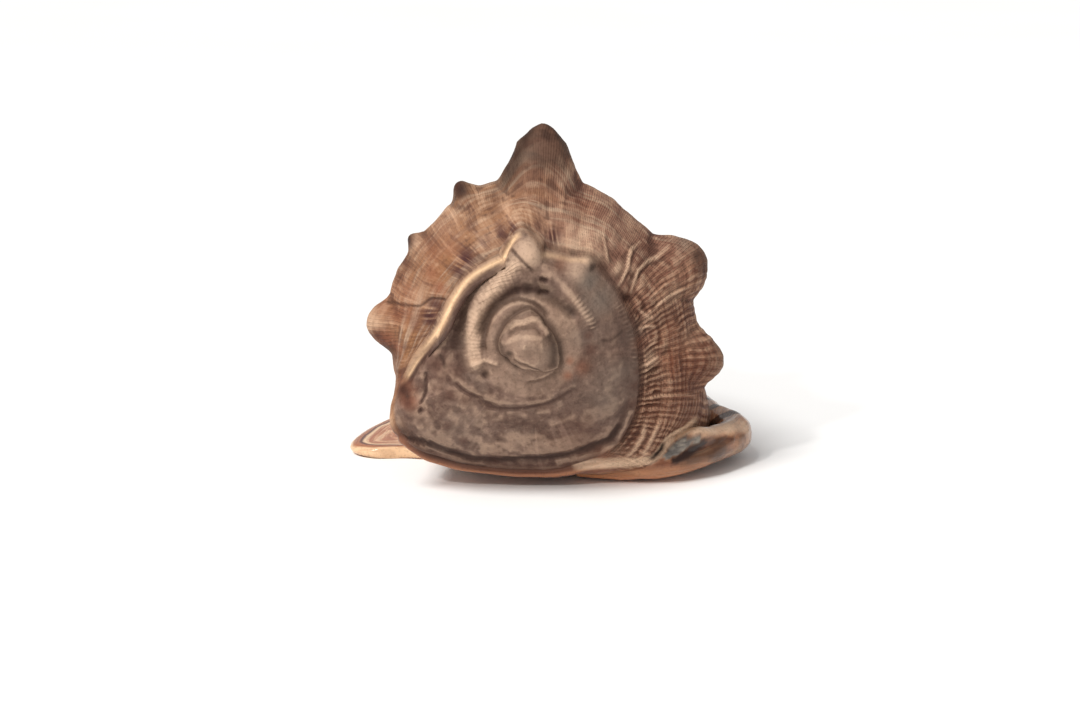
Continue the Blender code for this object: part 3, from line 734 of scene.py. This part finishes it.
# ---------------------------------------------------------------- joining
def join_shell(name, material):
    """One closed mesh of body, sole and lip roll with the aperture cut in."""
    body, sole, roll, aperture = make_body(), make_sole(), make_lip_roll(), make_aperture()
    for solid in (body, sole, roll, aperture):
        for _ in range(INNER + 1):
            solid.data.materials.append(material)
    for tool, operation in ((sole, "UNION"), (roll, "UNION"), (aperture, "DIFFERENCE")):
        step = body.modifiers.new(tool.name, "BOOLEAN")
        step.object = tool
        step.operation = operation
        step.solver = "EXACT"
    bpy.context.view_layer.update()
    depsgraph = bpy.context.evaluated_depsgraph_get()
    mesh = bpy.data.meshes.new_from_object(body.evaluated_get(depsgraph))
    for solid in (body, sole, roll, aperture):
        bpy.data.objects.remove(solid, do_unlink=True)
    mesh.name = name
    shell = bpy.data.objects.new(name, mesh)
    bpy.context.scene.collection.objects.link(shell)
    return shell


def read(items, name, width=1, kind=float):
    """One number or row of numbers for each vertex, edge, corner or face."""
    values = np.empty(len(items) * width, dtype=kind)
    items.foreach_get(name, values)
    return values.reshape(-1, width) if width > 1 else values


def coordinates(mesh):
    return read(mesh.vertices, "co", 3)


def corner_vertices(mesh):
    return read(mesh.loops, "vertex_index", kind=np.int32)


def centre_shell(shell):
    """Stand the shell over the middle of the part's box; returns the shift in metres."""
    points = coordinates(shell.data)
    shift = np.mean(CAD_BOX, axis=0) - (points.min(axis=0) + points.max(axis=0)) / 2
    shift[2] = 0.0
    points += shift
    shell.data.vertices.foreach_set("co", points.ravel())
    return shift


# ---------------------------------------------------------------- where each colour lies
def spread(flags, edges, rounds):
    """Soften a value over the mesh by averaging along its edges."""
    first, second = edges[:, 0], edges[:, 1]
    count = len(flags)
    links = np.bincount(first, minlength=count) + np.bincount(second, minlength=count)
    for _ in range(rounds):
        total = np.bincount(first, flags[second], count) + np.bincount(second, flags[first], count)
        flags = 0.5 * flags + 0.5 * total / np.maximum(links, 1)
    return flags


def spread_places(points, edges, rounds):
    return np.stack([spread(points[:, i], edges, rounds) for i in range(3)], axis=-1)


def vertex_share(mesh, material):
    """How much of each vertex's surroundings carries one of the three skins."""
    corners, count = corner_vertices(mesh), len(mesh.vertices)
    sides = read(mesh.polygons, "loop_total", kind=np.int32)
    skins = read(mesh.polygons, "material_index", kind=np.int32)
    flags = np.repeat(skins == material, sides).astype(float)
    return np.bincount(corners, flags, count) / np.maximum(np.bincount(corners, minlength=count), 1)


def seam_shade(angle, reach):
    """One on the spire's seams, fading over their width."""
    shade = np.zeros_like(reach)
    for seam, _, width in SEAMS:
        gap, there = seam_offset(angle, reach, seam)
        shade = np.maximum(shade, there * bell(gap - 0.3, width))
    return shade


def spots(flat, places):
    """Soft patches: (angle, reach, radius, strength)."""
    return np.maximum.reduce([s * bell(spot_gap(flat, a, r), size) for a, r, size, s in places])


def drawn(flat, lines):
    """Soft lines in the dial's plane: (points, half width, strength)."""
    return np.maximum.reduce([s * bell(line_gap(flat, line), width) for line, width, s in lines])


def colour_masks(points):
    """Strength of each colouring at every point; points in millimetres, before centring."""
    flat, forward = points[:, ::2] - (SPIRE_X, SPIRE_Z), points[:, 1]
    angle, reach = np.degrees(np.arctan2(flat[:, 1], flat[:, 0])), np.hypot(flat[:, 0], flat[:, 1])
    beyond = reach - terrace_reach(angle)
    front = within(forward, -46.0, -36.0)
    inside = within(beyond, -0.4, 1.4) * front
    ramp, behind = front * (1.0 - inside), 1.0 - front
    right, low_right = sector(angle, -64.0, 60.0, 40.0), sector(angle, 296.0, 345.0, 24.0)
    skirt = sector(angle, 214.0, 300.0, 8.0) * front
    off_skirt = 1.0 - 0.95 * skirt
    band = bell(line_gap(flat, BAND), 3.0)
    ridge = bell(beyond + 0.7, 0.95) * (sector(angle, 95.0, 200.0) + 0.35 * sector(angle, 54.0, 82.0))
    # Painted shade in the grooves either side of the ridge, over their own brown
    beside = 0.22 * bell(beyond + 3.0, 0.8) + 0.2 * bell(beyond - 1.4, 0.7)
    beside *= sector(angle, 98.0, 202.0, 8.0)
    low_seams = 1.0 - 0.6 * sector(angle, 190.0, 330.0, 20.0)
    # Painted shadow along the foot of the terrace's right edge
    foot = bell(beyond - 1.6, 1.3) * sector(angle, -62.0, 94.0, 8.0)
    rust = sector(angle, 124.0, 150.0, 12.0) + 0.9 * sector(angle, 164.0, 194.0, 12.0)
    rust = np.clip(rust * bell(beyond - 6.0, 4.6), 0.0, 1.0)
    rim, place = nearest_on_path(points[:, :2], sole_line(8))
    tips = np.maximum.reduce([
        strength * bell(turn_gap(angle, middle), width) * ease(reach, start, end)
        for middle, width, start, end, strength in TIPS
    ])
    chip = np.maximum.reduce([within(path_gap(points, path) / width, 0.8, 1.15) for path, width in CHIPS])
    crest = within(path_gap(points, CREST), 1.6, 3.4)
    crest = np.maximum(crest, 0.9 * within(path_gap(points, CREST[7:]), 2.4, 5.0))
    ribs = np.clip((0.9 * right + 0.35 * ease(beyond, 9.0, 15.0) + 0.10) * ramp + 0.9 * behind, 0.0, 1.0)
    cords = (0.75 * low_right + 0.3 * right + 0.12) * ramp + 0.9 * behind + 0.5 * band * inside
    return {
        "terrace": inside,
        "plate": 0.2 + 0.8 * ease(reach, 24.0, 40.0),
        "warm": sector(angle, 84.0, 262.0, 50.0),
        # Pale colour, with painted highlight along the raised lines and folds and at the top right edge
        "cream": np.maximum.reduce([
            0.3 * within(reach, 6.0, 11.0) * inside, 0.8 * band * inside, drawn(flat, PALE_AND_HIGHLIT_LINES) * front,
            0.7 * wrinkles(flat, 0.9) * ramp, spots(flat, CREAM_SPOTS) * front,
            0.25 * inside * within(reach, 18.0, 20.0),
        ]),
        "ridge": np.clip(1.15 * ridge, 0.0, 1.0) * front,
        "crest": crest * (1.0 - chip),
        "tawny": within(path_gap(points, TAWNY), 2.0, 7.0),
        "pale_end": within(path_gap(points, PALE_END), 2.0, 8.0),
        "low_edge": within(path_gap(points, LOW_EDGE), 1.5, 5.0),
        "gap": bell(path_gap(points, GAP_SHADOW), 1.5),
        "chip": chip,
        "gouge": within(path_gap(points, LIP_HOLLOW), 0.9, 2.6) * (1.0 - chip),
        "amber": spots(flat, AMBER_SPOTS) * front,
        "maroon": spots(flat, MAROON_SPOTS) * ramp,
        "stain": np.maximum(spots(flat, STAIN_SPOTS), 0.6 * bell(beyond + 1.2, 2.6) * skirt) * front,
        "chalk": spots(flat, CHALK_SPOTS) * front,
        # Dark marks, with painted shade on the seams, at the terrace's right foot and beside the ridge
        "dark": np.maximum.reduce([
            spots(flat, DARK_SPOTS_AND_SHADE), drawn(flat, DARK_LINES_AND_SHADE), 0.45 * seam_shade(angle, reach) * low_seams,
            0.4 * foot, 0.2 * bell(beyond + 1.0, 2.4) * skirt, beside,
        ]) * front,
        "ribs": ribs * (1.0 - 0.6 * tips) * off_skirt,
        "cords": np.clip(cords, 0.0, 1.0) * (1.0 - 0.7 * tips) * off_skirt,
        "finer": sector(angle, 22.0, 112.0, 20.0) * ramp,
        "ribbed": sector(angle, 296.0, 385.0, 24.0) * (1.0 - inside),
        "rust": rust * ramp,
        "tip": tips,
        "glaze": sector(angle, 217.0, 303.0, 8.0) * ease(beyond, -1.5, 1.2) * within(forward, -50.0, -38.0),
        "line": bell(beyond - 2.4, 1.0) * sector(angle, 222.0, 300.0, 10.0) * front,
        "rim": rim,
        "place": place,
    }


def callus_masks(points, callus):
    """The same for the glossy lip and shield, round the sole."""
    across, forward, up = points.T
    angle = np.degrees(np.arctan2(forward - 15.0, across))
    under = within(up, 0.5, 2.0)
    return {
        "callus": callus,
        "bars": sector(angle, -30.0, 95.0, 20.0) * callus * ease(up, 1.0, 5.0),
        "lobe": callus * within(across, -50.0, -38.0),
        "bottom_lip": sector(angle, -110.0, -20.0, 20.0) * callus,
        "blot": 0.8 * under * bell(np.hypot(across - 4.0, (forward - 20.0) * 0.6), 11.0),
    }


def flow(mesh):
    """Growth and cord numbers of each vertex, wrapped round so that they have no seam."""
    numbers = read(mesh.uv_layers["threads"].uv, "vector", 2)
    real = np.abs(numbers).sum(axis=1) > 1e-6
    mine = np.zeros((len(mesh.vertices), 2))
    mine[corner_vertices(mesh)[real]] = numbers[real]
    turn = mine[:, 0] * 2 * math.pi / GROWTH_LINES
    radius = GROWTH_LINES / (2 * math.pi)
    return np.stack([radius * np.cos(turn), mine[:, 1], radius * np.sin(turn)], axis=-1)


def soften_joins(shell, edges, callus, hollow):
    """Round the corners where the skins meet."""
    points = coordinates(shell.data)
    near = np.clip(4 * callus * (1 - callus) + 4 * hollow * (1 - hollow), 0.0, 1.0)[:, None]
    for _ in range(JOIN_ROUNDS):
        points = points + near * (spread_places(points, edges, 1) - points)
    shell.data.vertices.foreach_set("co", points.ravel())
    shell.data.update()


def paint_shell(shell):
    """Write the colouring's strengths onto the mesh, before it is centred."""
    mesh = shell.data
    edges = read(mesh.edges, "vertices", 2, np.int32)
    callus = spread(vertex_share(mesh, CALLUS), edges, 6)
    hollow = spread(vertex_share(mesh, INNER), edges, 4)
    masks = {"flow": flow(mesh), "hollow": hollow}
    soften_joins(shell, edges, callus, hollow)
    points, normals = coordinates(mesh) / MM, read(mesh.vertex_normals, "vector", 3)
    masks.update(colour_masks(points))
    masks.update(callus_masks(points, callus))
    masks["upward"] = normals[:, 2]
    # How far each vertex lies below (positive) or above its close and its wide surroundings; the finish
    # paints shade where it lies below and a highlight where it lies above
    for name, rounds, full in (("groove", 6, 0.12), ("wide_hollow_shade", 60, 0.9)):
        below = np.einsum("ij,ij->i", spread_places(points, edges, rounds) - points, normals)
        masks[name] = np.clip(below / full, -1.0, 1.0)
    for name, values in masks.items():
        kind, field = ("FLOAT", "value") if values.ndim == 1 else ("FLOAT_VECTOR", "vector")
        layer = mesh.attributes.new(name, kind, "POINT")
        layer.data.foreach_set(field, np.ascontiguousarray(values, dtype=np.float32).ravel())


# ---------------------------------------------------------------- finishes
TAN = (0.262, 0.142, 0.076)
MAUVE = (0.255, 0.132, 0.088)
CREAM = (0.50, 0.355, 0.255)
CHALK = (0.190, 0.148, 0.123)
AMBER = (0.24, 0.082, 0.026)
MAROON = (0.085, 0.03, 0.028)
UMBER = (0.035, 0.016, 0.010)


class Finish:
    """A material being built: each call adds nodes and returns their output."""

    def __init__(self, name):
        self.material = bpy.data.materials.new(name)
        self.material.use_nodes = True
        self.nodes = self.material.node_tree.nodes
        self.links = self.material.node_tree.links
        self.surface = self.nodes["Principled BSDF"].inputs

    def set(self, socket, value):
        if hasattr(value, "is_output"):
            self.links.new(value, socket)
        elif isinstance(value, tuple) and socket.type == "RGBA":
            socket.default_value = (*value, 1.0)
        else:
            socket.default_value = value

    def add(self, kind, output=0, settings=None, **values):
        node = self.nodes.new(kind)
        for name, value in (settings or {}).items():
            setattr(node, name, value)
        for name, value in values.items():
            self.set(node.inputs[int(name[1:])] if name[1:].isdigit() else node.inputs[name], value)
        return node.outputs[output]

    def math(self, operation, *values):
        sockets = {f"s{i}": value for i, value in enumerate(values)}
        return self.add("ShaderNodeMath", settings={"operation": operation}, **sockets)

    def mix(self, share, base, other, blend="MIX"):
        settings = {"data_type": "RGBA", "blend_type": blend}
        return self.add("ShaderNodeMix", 2, settings, s0=share, s6=base, s7=other)

    def noise(self, scale, detail=3.0, stretch=None, distortion=0.0):
        where = self.add("ShaderNodeTexCoord", 3)
        if stretch:
            where = self.add("ShaderNodeMapping", Vector=where, Scale=stretch)
        shape = {"Scale": scale, "Detail": detail, "Distortion": distortion}
        return self.add("ShaderNodeTexNoise", Vector=where, **shape)

    def flow_noise(self, growth_scale, cord_scale, detail):
        """Noise drawn out along the shell's own growth lines or cords."""
        where = self.add("ShaderNodeAttribute", 1, {"attribute_name": "flow"})
        where = self.add("ShaderNodeMapping", Vector=where, Scale=(growth_scale, cord_scale, growth_scale))
        return self.add("ShaderNodeTexNoise", Vector=where, Scale=1.0, Detail=detail, Roughness=0.6)

    def mask(self, name):
        return self.add("ShaderNodeAttribute", 2, {"attribute_name": name})

    def ramp(self, value, low, high, start=0.0, end=1.0):
        levels = {"s0": value, "s1": low, "s2": high, "s3": start, "s4": end}
        return self.add("ShaderNodeMapRange", settings={"interpolation_type": "SMOOTHSTEP"}, **levels)

    def times(self, *values):
        """Product of sockets and numbers; a name stands for the mask of that name."""
        total, *others = [self.mask(value) if isinstance(value, str) else value for value in values]
        for value in others:
            total = self.math("MULTIPLY", total, value)
        return total

    def threads(self, value, sharp_low=0.35, sharp_high=0.85):
        """Raised lines, one for each whole number in value."""
        wave = self.math("SINE", self.times(value, 2 * math.pi))
        return self.ramp(wave, -1 + 2 * sharp_low, -1 + 2 * sharp_high)

    def over(self, colour, tone, *shares):
        """Lay a tone over a colour, as strongly as the product of the shares."""
        return self.mix(self.times(*shares), colour, tone)

    def clouds(self, colour, *layers):
        """Lay on tones where a value runs between two levels: (tone, value, from, to, strength)."""
        for tone, value, low, high, strength in layers:
            colour = self.mix(self.ramp(value, low, high, 0.0, strength), colour, tone)
        return colour


def ramp_colour(f, growth, cord):
    """Colour of the ribbed last whorl: tan to mauve, streaked along the ribs and the cords."""
    blotch = f.noise(40.0, 4.0, distortion=0.5)
    patch = f.noise(130.0, 4.0)
    rib_streak = f.flow_noise(0.33, 0.05, 4.0)
    cord_streak = f.flow_noise(0.025, 0.45, 4.0)
    fine_rib = f.threads(growth, 0.25, 0.9)
    fine_rib = f.mix(f.mask("finer"), fine_rib, f.threads(f.times(growth, 2.0), 0.25, 0.9))
    fine_rib = f.add("ShaderNodeSeparateColor", Color=fine_rib)
    fine_cord = f.threads(cord, 0.25, 0.9)
    rib = f.threads(f.times(growth, RIBS_PER_LINE), 0.2, 0.9)
    colour = f.clouds(
        f.mix(f.mask("warm"), MAUVE, TAN),
        (CREAM, blotch, 0.52, 0.72, 0.45),
        ((0.215, 0.125, 0.092), blotch, 0.48, 0.30, 0.6),
    )
    colour = f.over(colour, (0.27, 0.135, 0.055), f.ramp(cord_streak, 0.48, 0.62, 0.0, 0.6), "warm")
    colour = f.clouds(colour, ((0.37, 0.275, 0.205), cord_streak, 0.48, 0.36, 0.7))
    colour = f.over(colour, (0.27, 0.135, 0.042), "rust", f.ramp(cord_streak, 0.36, 0.58, 0.1, 0.7))
    colour = f.clouds(
        colour,
        ((0.52, 0.34, 0.225), rib_streak, 0.52, 0.68, 0.45),
        ((0.10, 0.042, 0.030), rib_streak, 0.47, 0.33, 0.55),
    )
    share = f.ramp(patch, 0.35, 0.6, 0.25, 1.0)
    # Darker between the raised ribs and cords: partly the whorl's dark lines, partly painted shade in the
    # grooves
    between_ribs = f.times(f.math("SUBTRACT", 1.0, fine_rib), "ribs")
    between_cords = f.times(f.math("SUBTRACT", 1.0, fine_cord), "cords")
    hollow = f.times(f.math("MAXIMUM", between_ribs, between_cords), share)
    depth = f.math("MULTIPLY_ADD", f.mask("finer"), -0.27, 0.62)
    colour = f.over(colour, (0.085, 0.031, 0.019), hollow, depth)
    colour = f.over(colour, (0.22, 0.086, 0.032), "ribbed", 0.35)
    colour = f.over(colour, (0.52, 0.33, 0.215), rib, "ribbed", share, 0.5)
    colour = f.over(colour, (0.10, 0.036, 0.018), f.ramp(cord_streak, 0.44, 0.6), "ribbed", 0.6)
    raised = f.math("MAXIMUM", f.times(fine_rib, "ribs"), f.times(fine_cord, "cords"))
    return colour, patch, blotch, raised


def terrace_colour(f, patch, blotch):
    """Colour of the flat inner whorl: worn taupe with grey and warm clouds."""
    cloud = f.noise(75.0, 5.0, distortion=1.0)
    speck = f.noise(420.0, 4.0)
    mottle = f.noise(190.0, 5.0, distortion=0.6)
    streak = f.flow_noise(0.22, 0.03, 3.0)
    colour = f.mix(f.ramp(cloud, 0.3, 0.7), (0.146, 0.086, 0.063), (0.190, 0.121, 0.093))
    colour = f.clouds(colour, (CHALK, patch, 0.48, 0.7, 0.2), (TAN, blotch, 0.5, 0.75, 0.22))
    colour = f.over(colour, (0.10, 0.046, 0.034), f.ramp(streak, 0.48, 0.32, 0.0, 0.4), "plate")
    colour = f.over(colour, (0.30, 0.195, 0.150), f.ramp(streak, 0.53, 0.66, 0.0, 0.6), "plate")
    return f.clouds(
        colour,
        ((0.095, 0.050, 0.036), mottle, 0.52, 0.70, 0.18),
        ((0.32, 0.215, 0.16), mottle, 0.46, 0.30, 0.16),
        ((0.36, 0.25, 0.18), speck, 0.44, 0.3, 0.25),
        ((0.085, 0.048, 0.034), speck, 0.5, 0.66, 0.35),
    )


def callus_colour(f, patch, blotch):
    """Colour of the glossy lip and shield: growth bands along the rim and dark bars across it."""
    height = f.times(f.add("ShaderNodeSeparateXYZ", 2, s0=f.add("ShaderNodeTexCoord", 3)), 1.0 / MM)
    upward = f.mask("upward")
    rim = f.math("ADD", f.mask("rim"), f.times(blotch, 7.0))
    depth = f.times(f.math("MULTIPLY_ADD", height, 0.9, rim), 0.4)
    where = f.add("ShaderNodeCombineXYZ", X=f.times("place", 0.05), Y=depth)
    streak = f.add("ShaderNodeTexNoise", Vector=where, Scale=1.0, Detail=4.0, Roughness=0.6)
    colour = f.mix(f.ramp(streak, 0.36, 0.62), (0.36, 0.145, 0.052), (0.50, 0.30, 0.17))
    # Painted highlight on the faces turned upward
    colour = f.clouds(colour, (CREAM, upward, 0.6, 0.95, 0.4))
    # Painted shade on the steep outward-facing front of the lip, in streaked browns
    side = f.mix(f.ramp(streak, 0.35, 0.7), (0.13, 0.052, 0.020), (0.34, 0.158, 0.060))
    shaded_face, raised = f.ramp(upward, 0.75, 0.3), f.ramp(height, 3.0, 7.0, 0.35, 0.95)
    colour = f.over(colour, side, shaded_face, "bottom_lip", raised)
    low = f.times("bottom_lip", f.ramp(height, 5.0, 2.0))
    colour = f.clouds(colour, ((0.58, 0.265, 0.095), low, 0.0, 1.0, 0.85))
    # Painted light from the pale floor on faces turned down
    floor_lit_face = f.ramp(upward, 0.1, -0.6, 0.0, 0.6)
    colour = f.over(colour, (0.42, 0.29, 0.22), floor_lit_face, f.ramp(height, 3.0, 6.0))
    colour = f.over(colour, (0.105, 0.050, 0.022), "tawny", 0.8)
    colour = f.over(colour, (0.44, 0.285, 0.155), "pale_end", 0.6)
    bands = f.threads(f.times(rim, 0.23), 0.3, 0.8)
    fine_bands = f.threads(f.times(rim, 0.71), 0.4, 0.9)
    lobe = f.clouds(
        f.mix(f.ramp(streak, 0.40, 0.58), (0.62, 0.42, 0.27), (0.40, 0.16, 0.06)),
        ((0.62, 0.45, 0.30), rim, 11.0, 9.4, 1.0),
        ((0.15, 0.05, 0.02), rim, 9.0, 8.2, 1.0),
        ((0.36, 0.145, 0.046), rim, 7.8, 7.0, 1.0),
        ((0.58, 0.41, 0.26), rim, 5.4, 4.4, 0.9),
    )
    lobe = f.over(lobe, (0.22, 0.08, 0.03), fine_bands, 0.15)
    colour = f.over(colour, (0.24, 0.075, 0.022), bands, 0.3)
    colour = f.over(colour, UMBER, fine_bands, 0.12)
    colour = f.over(colour, lobe, "lobe")
    place = f.math("ADD", f.mask("place"), f.times(patch, 8.0))
    colour = f.over(colour, (0.06, 0.026, 0.013), f.threads(f.times(place, 0.075), 0.6, 0.8), "bars", 0.8)
    return f.over(colour, UMBER, "blot"), fine_bands, streak


def shell_finish():
    f = Finish("grown_shell")
    lines = f.add("ShaderNodeUVMap", settings={"uv_map": "threads"})
    growth, cord = f.add("ShaderNodeSeparateXYZ", s0=lines).node.outputs[:2]
    colour, patch, blotch, lattice = ramp_colour(f, growth, cord)
    callus, fine_bands, lip_streak = callus_colour(f, patch, blotch)
    grain, glossy, groove = f.noise(900.0, 3.0), f.mask("callus"), f.mask("groove")
    tip = f.mix(f.ramp(patch, 0.4, 0.6), (0.060, 0.028, 0.018), (0.12, 0.062, 0.040))
    worn = f.ramp(f.noise(240.0, 3.0, (1.0, 1.0, 2.5)), 0.35, 0.7)
    worn = f.mix(worn, (0.15, 0.135, 0.128), (0.27, 0.238, 0.21))
    inner = f.mix(f.ramp(patch, 0.35, 0.65), (0.16, 0.07, 0.035), (0.30, 0.15, 0.08))
    colour = f.clouds(
        f.over(colour, terrace_colour(f, patch, blotch), "terrace"),
        # Painted shade in creases and wide hollows, and a painted highlight on raised crests
        ((0.075, 0.033, 0.022), groove, 0.05, 0.9, 0.5),
        (CREAM, groove, -0.15, -1.0, 0.35),
        ((0.085, 0.038, 0.026), f.mask("wide_hollow_shade"), 0.1, 1.0, 0.2),
    )
    # From the first tone laid on to the last
    for tone, *shares in (
        (CHALK, "chalk"),
        (CREAM, "cream", f.ramp(patch, 0.25, 0.55, 0.6, 1.0)),
        (MAROON, "maroon", f.ramp(f.flow_noise(0.8, 0.06, 2.0), 0.38, 0.52, 0.25, 1.0)),
        ((0.60, 0.41, 0.245), "ridge"),
        (tip, "tip"),
        (AMBER, "amber", f.ramp(patch, 0.3, 0.6, 0.75, 1.0)),
        ((0.10, 0.036, 0.019), "stain", f.ramp(patch, 0.3, 0.6, 0.65, 1.0)),
        # Dark marks and painted shade
        (UMBER, "dark"),
        ((0.205, 0.081, 0.034), "glaze", 0.85),
        ((0.36, 0.165, 0.07), "line", 0.8),
        (callus, glossy),
        ((0.37, 0.175, 0.062), "low_edge", 0.6),
        ((0.54, 0.39, 0.28), "crest", f.ramp(lip_streak, 0.3, 0.6, 0.6, 0.9)),
        # Painted shadow in the gap behind the lip's crest
        (UMBER, "gap"),
        (worn, "chip"),
        ((0.045, 0.018, 0.009), "gouge"),
        (inner, "hollow"),
    ):
        colour = f.over(colour, tone, *shares)
    # The whole is then deepened and lifted evenly
    colour = f.clouds(colour, (UMBER, grain, 0.5, 0.7, 0.15))
    colour = f.add("ShaderNodeGamma", Color=colour, Gamma=1.4)
    colour = f.mix(1.0, colour, (1.71, 1.74, 1.68), "MULTIPLY")
    saturation = f.math("MULTIPLY_ADD", f.mask("terrace"), -0.03, 0.87)
    colour = f.add("ShaderNodeHueSaturation", Saturation=saturation, Color=colour)
    relief = f.math("ADD", f.math("ADD", lattice, f.times(grain, 0.5)), f.times(patch, 0.8))
    relief = f.times(relief, f.math("MULTIPLY_ADD", glossy, -0.9, 1.0))
    relief = f.math("ADD", relief, f.times(fine_bands, glossy, 0.25))
    wet = f.math("MAXIMUM", glossy, f.times("glaze", 0.8))
    wet = f.times(wet, f.math("SUBTRACT", 1.0, f.mask("chip")))
    roughness = f.math("MULTIPLY_ADD", patch, 0.25, 0.5)
    roughness = f.math("MULTIPLY_ADD", wet, f.math("SUBTRACT", 0.28, roughness), roughness)
    for name, value in (
        ("Base Color", colour),
        ("Roughness", roughness),
        ("Normal", f.add("ShaderNodeBump", Strength=0.9, Distance=0.0005, Height=relief)),
        ("Coat Weight", f.times(wet, 0.4)),
        ("Coat Roughness", 0.07),
        ("Specular IOR Level", 0.14),
    ):
        f.set(f.surface[name], value)
    return f.material


# ---------------------------------------------------------------- stage
def make_floor():
    work = bmesh.new()
    bmesh.ops.create_circle(work, cap_ends=True, segments=96, radius=9.0)
    floor = add_mesh("floor", work)
    finish = Finish("pale_floor")
    tone = finish.mix(finish.ramp(finish.noise(3.0), 0.3, 0.7), (0.94, 0.94, 0.94), (0.96, 0.96, 0.96))
    finish.set(finish.surface["Base Color"], tone)
    finish.set(finish.surface["Roughness"], 0.9)
    finish.set(finish.surface["Specular IOR Level"], 0.1)
    floor.data.materials.append(finish.material)


def make_light(name, kind, place, aim, power, colour, **settings):
    lamp = bpy.data.lights.new(name, kind)
    lamp.energy = power
    lamp.color = colour
    for setting, value in settings.items():
        setattr(lamp, setting, value)
    light = bpy.data.objects.new(name, lamp)
    light.location = place
    light.rotation_euler = (Vector(aim) - Vector(place)).to_track_quat("-Z", "Y").to_euler()
    bpy.context.scene.collection.objects.link(light)


def make_camera(shift):
    elevation, distance = math.radians(14.0), 0.9
    aim = Vector((-0.0044, 0.0, 0.0352)) + Vector(shift)
    data = bpy.data.cameras.new("camera")
    data.lens = 75.0
    data.sensor_width = 36.0
    camera = bpy.data.objects.new("camera", data)
    camera.location = aim + distance * Vector((0.0, -math.cos(elevation), math.sin(elevation)))
    camera.rotation_euler = (math.pi / 2 - elevation, 0.0, 0.0)
    bpy.context.scene.collection.objects.link(camera)
    bpy.context.scene.camera = camera


def light_stage():
    world = bpy.data.worlds.new("studio")
    world.use_nodes = True
    background = world.node_tree.nodes["Background"].inputs
    background["Color"].default_value = (1.0, 0.99, 0.98, 1.0)
    background["Strength"].default_value = 0.5
    scene = bpy.context.scene
    scene.world = world
    scene.view_settings.view_transform = "Standard"
    daylight, lamplight, softness = (1.0, 0.985, 0.96), (1.0, 0.97, 0.93), math.radians(22.0)
    make_light("window", "SUN", (-0.5, -0.55, 1.0), (0.0, 0.0, 0.0), 2.3, daylight, angle=softness)
    make_light("key", "AREA", (-0.6, -0.9, 0.8), (0.0, 0.0, 0.05), 5.0, lamplight, shape="DISK", size=0.1)


def main():
    shell = join_shell("helmet_shell_visual", shell_finish())
    paint_shell(shell)
    shift = centre_shell(shell)
    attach(shell, "root")
    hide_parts("helmet_shell")
    make_floor()
    make_camera(shift)
    light_stage()


main()
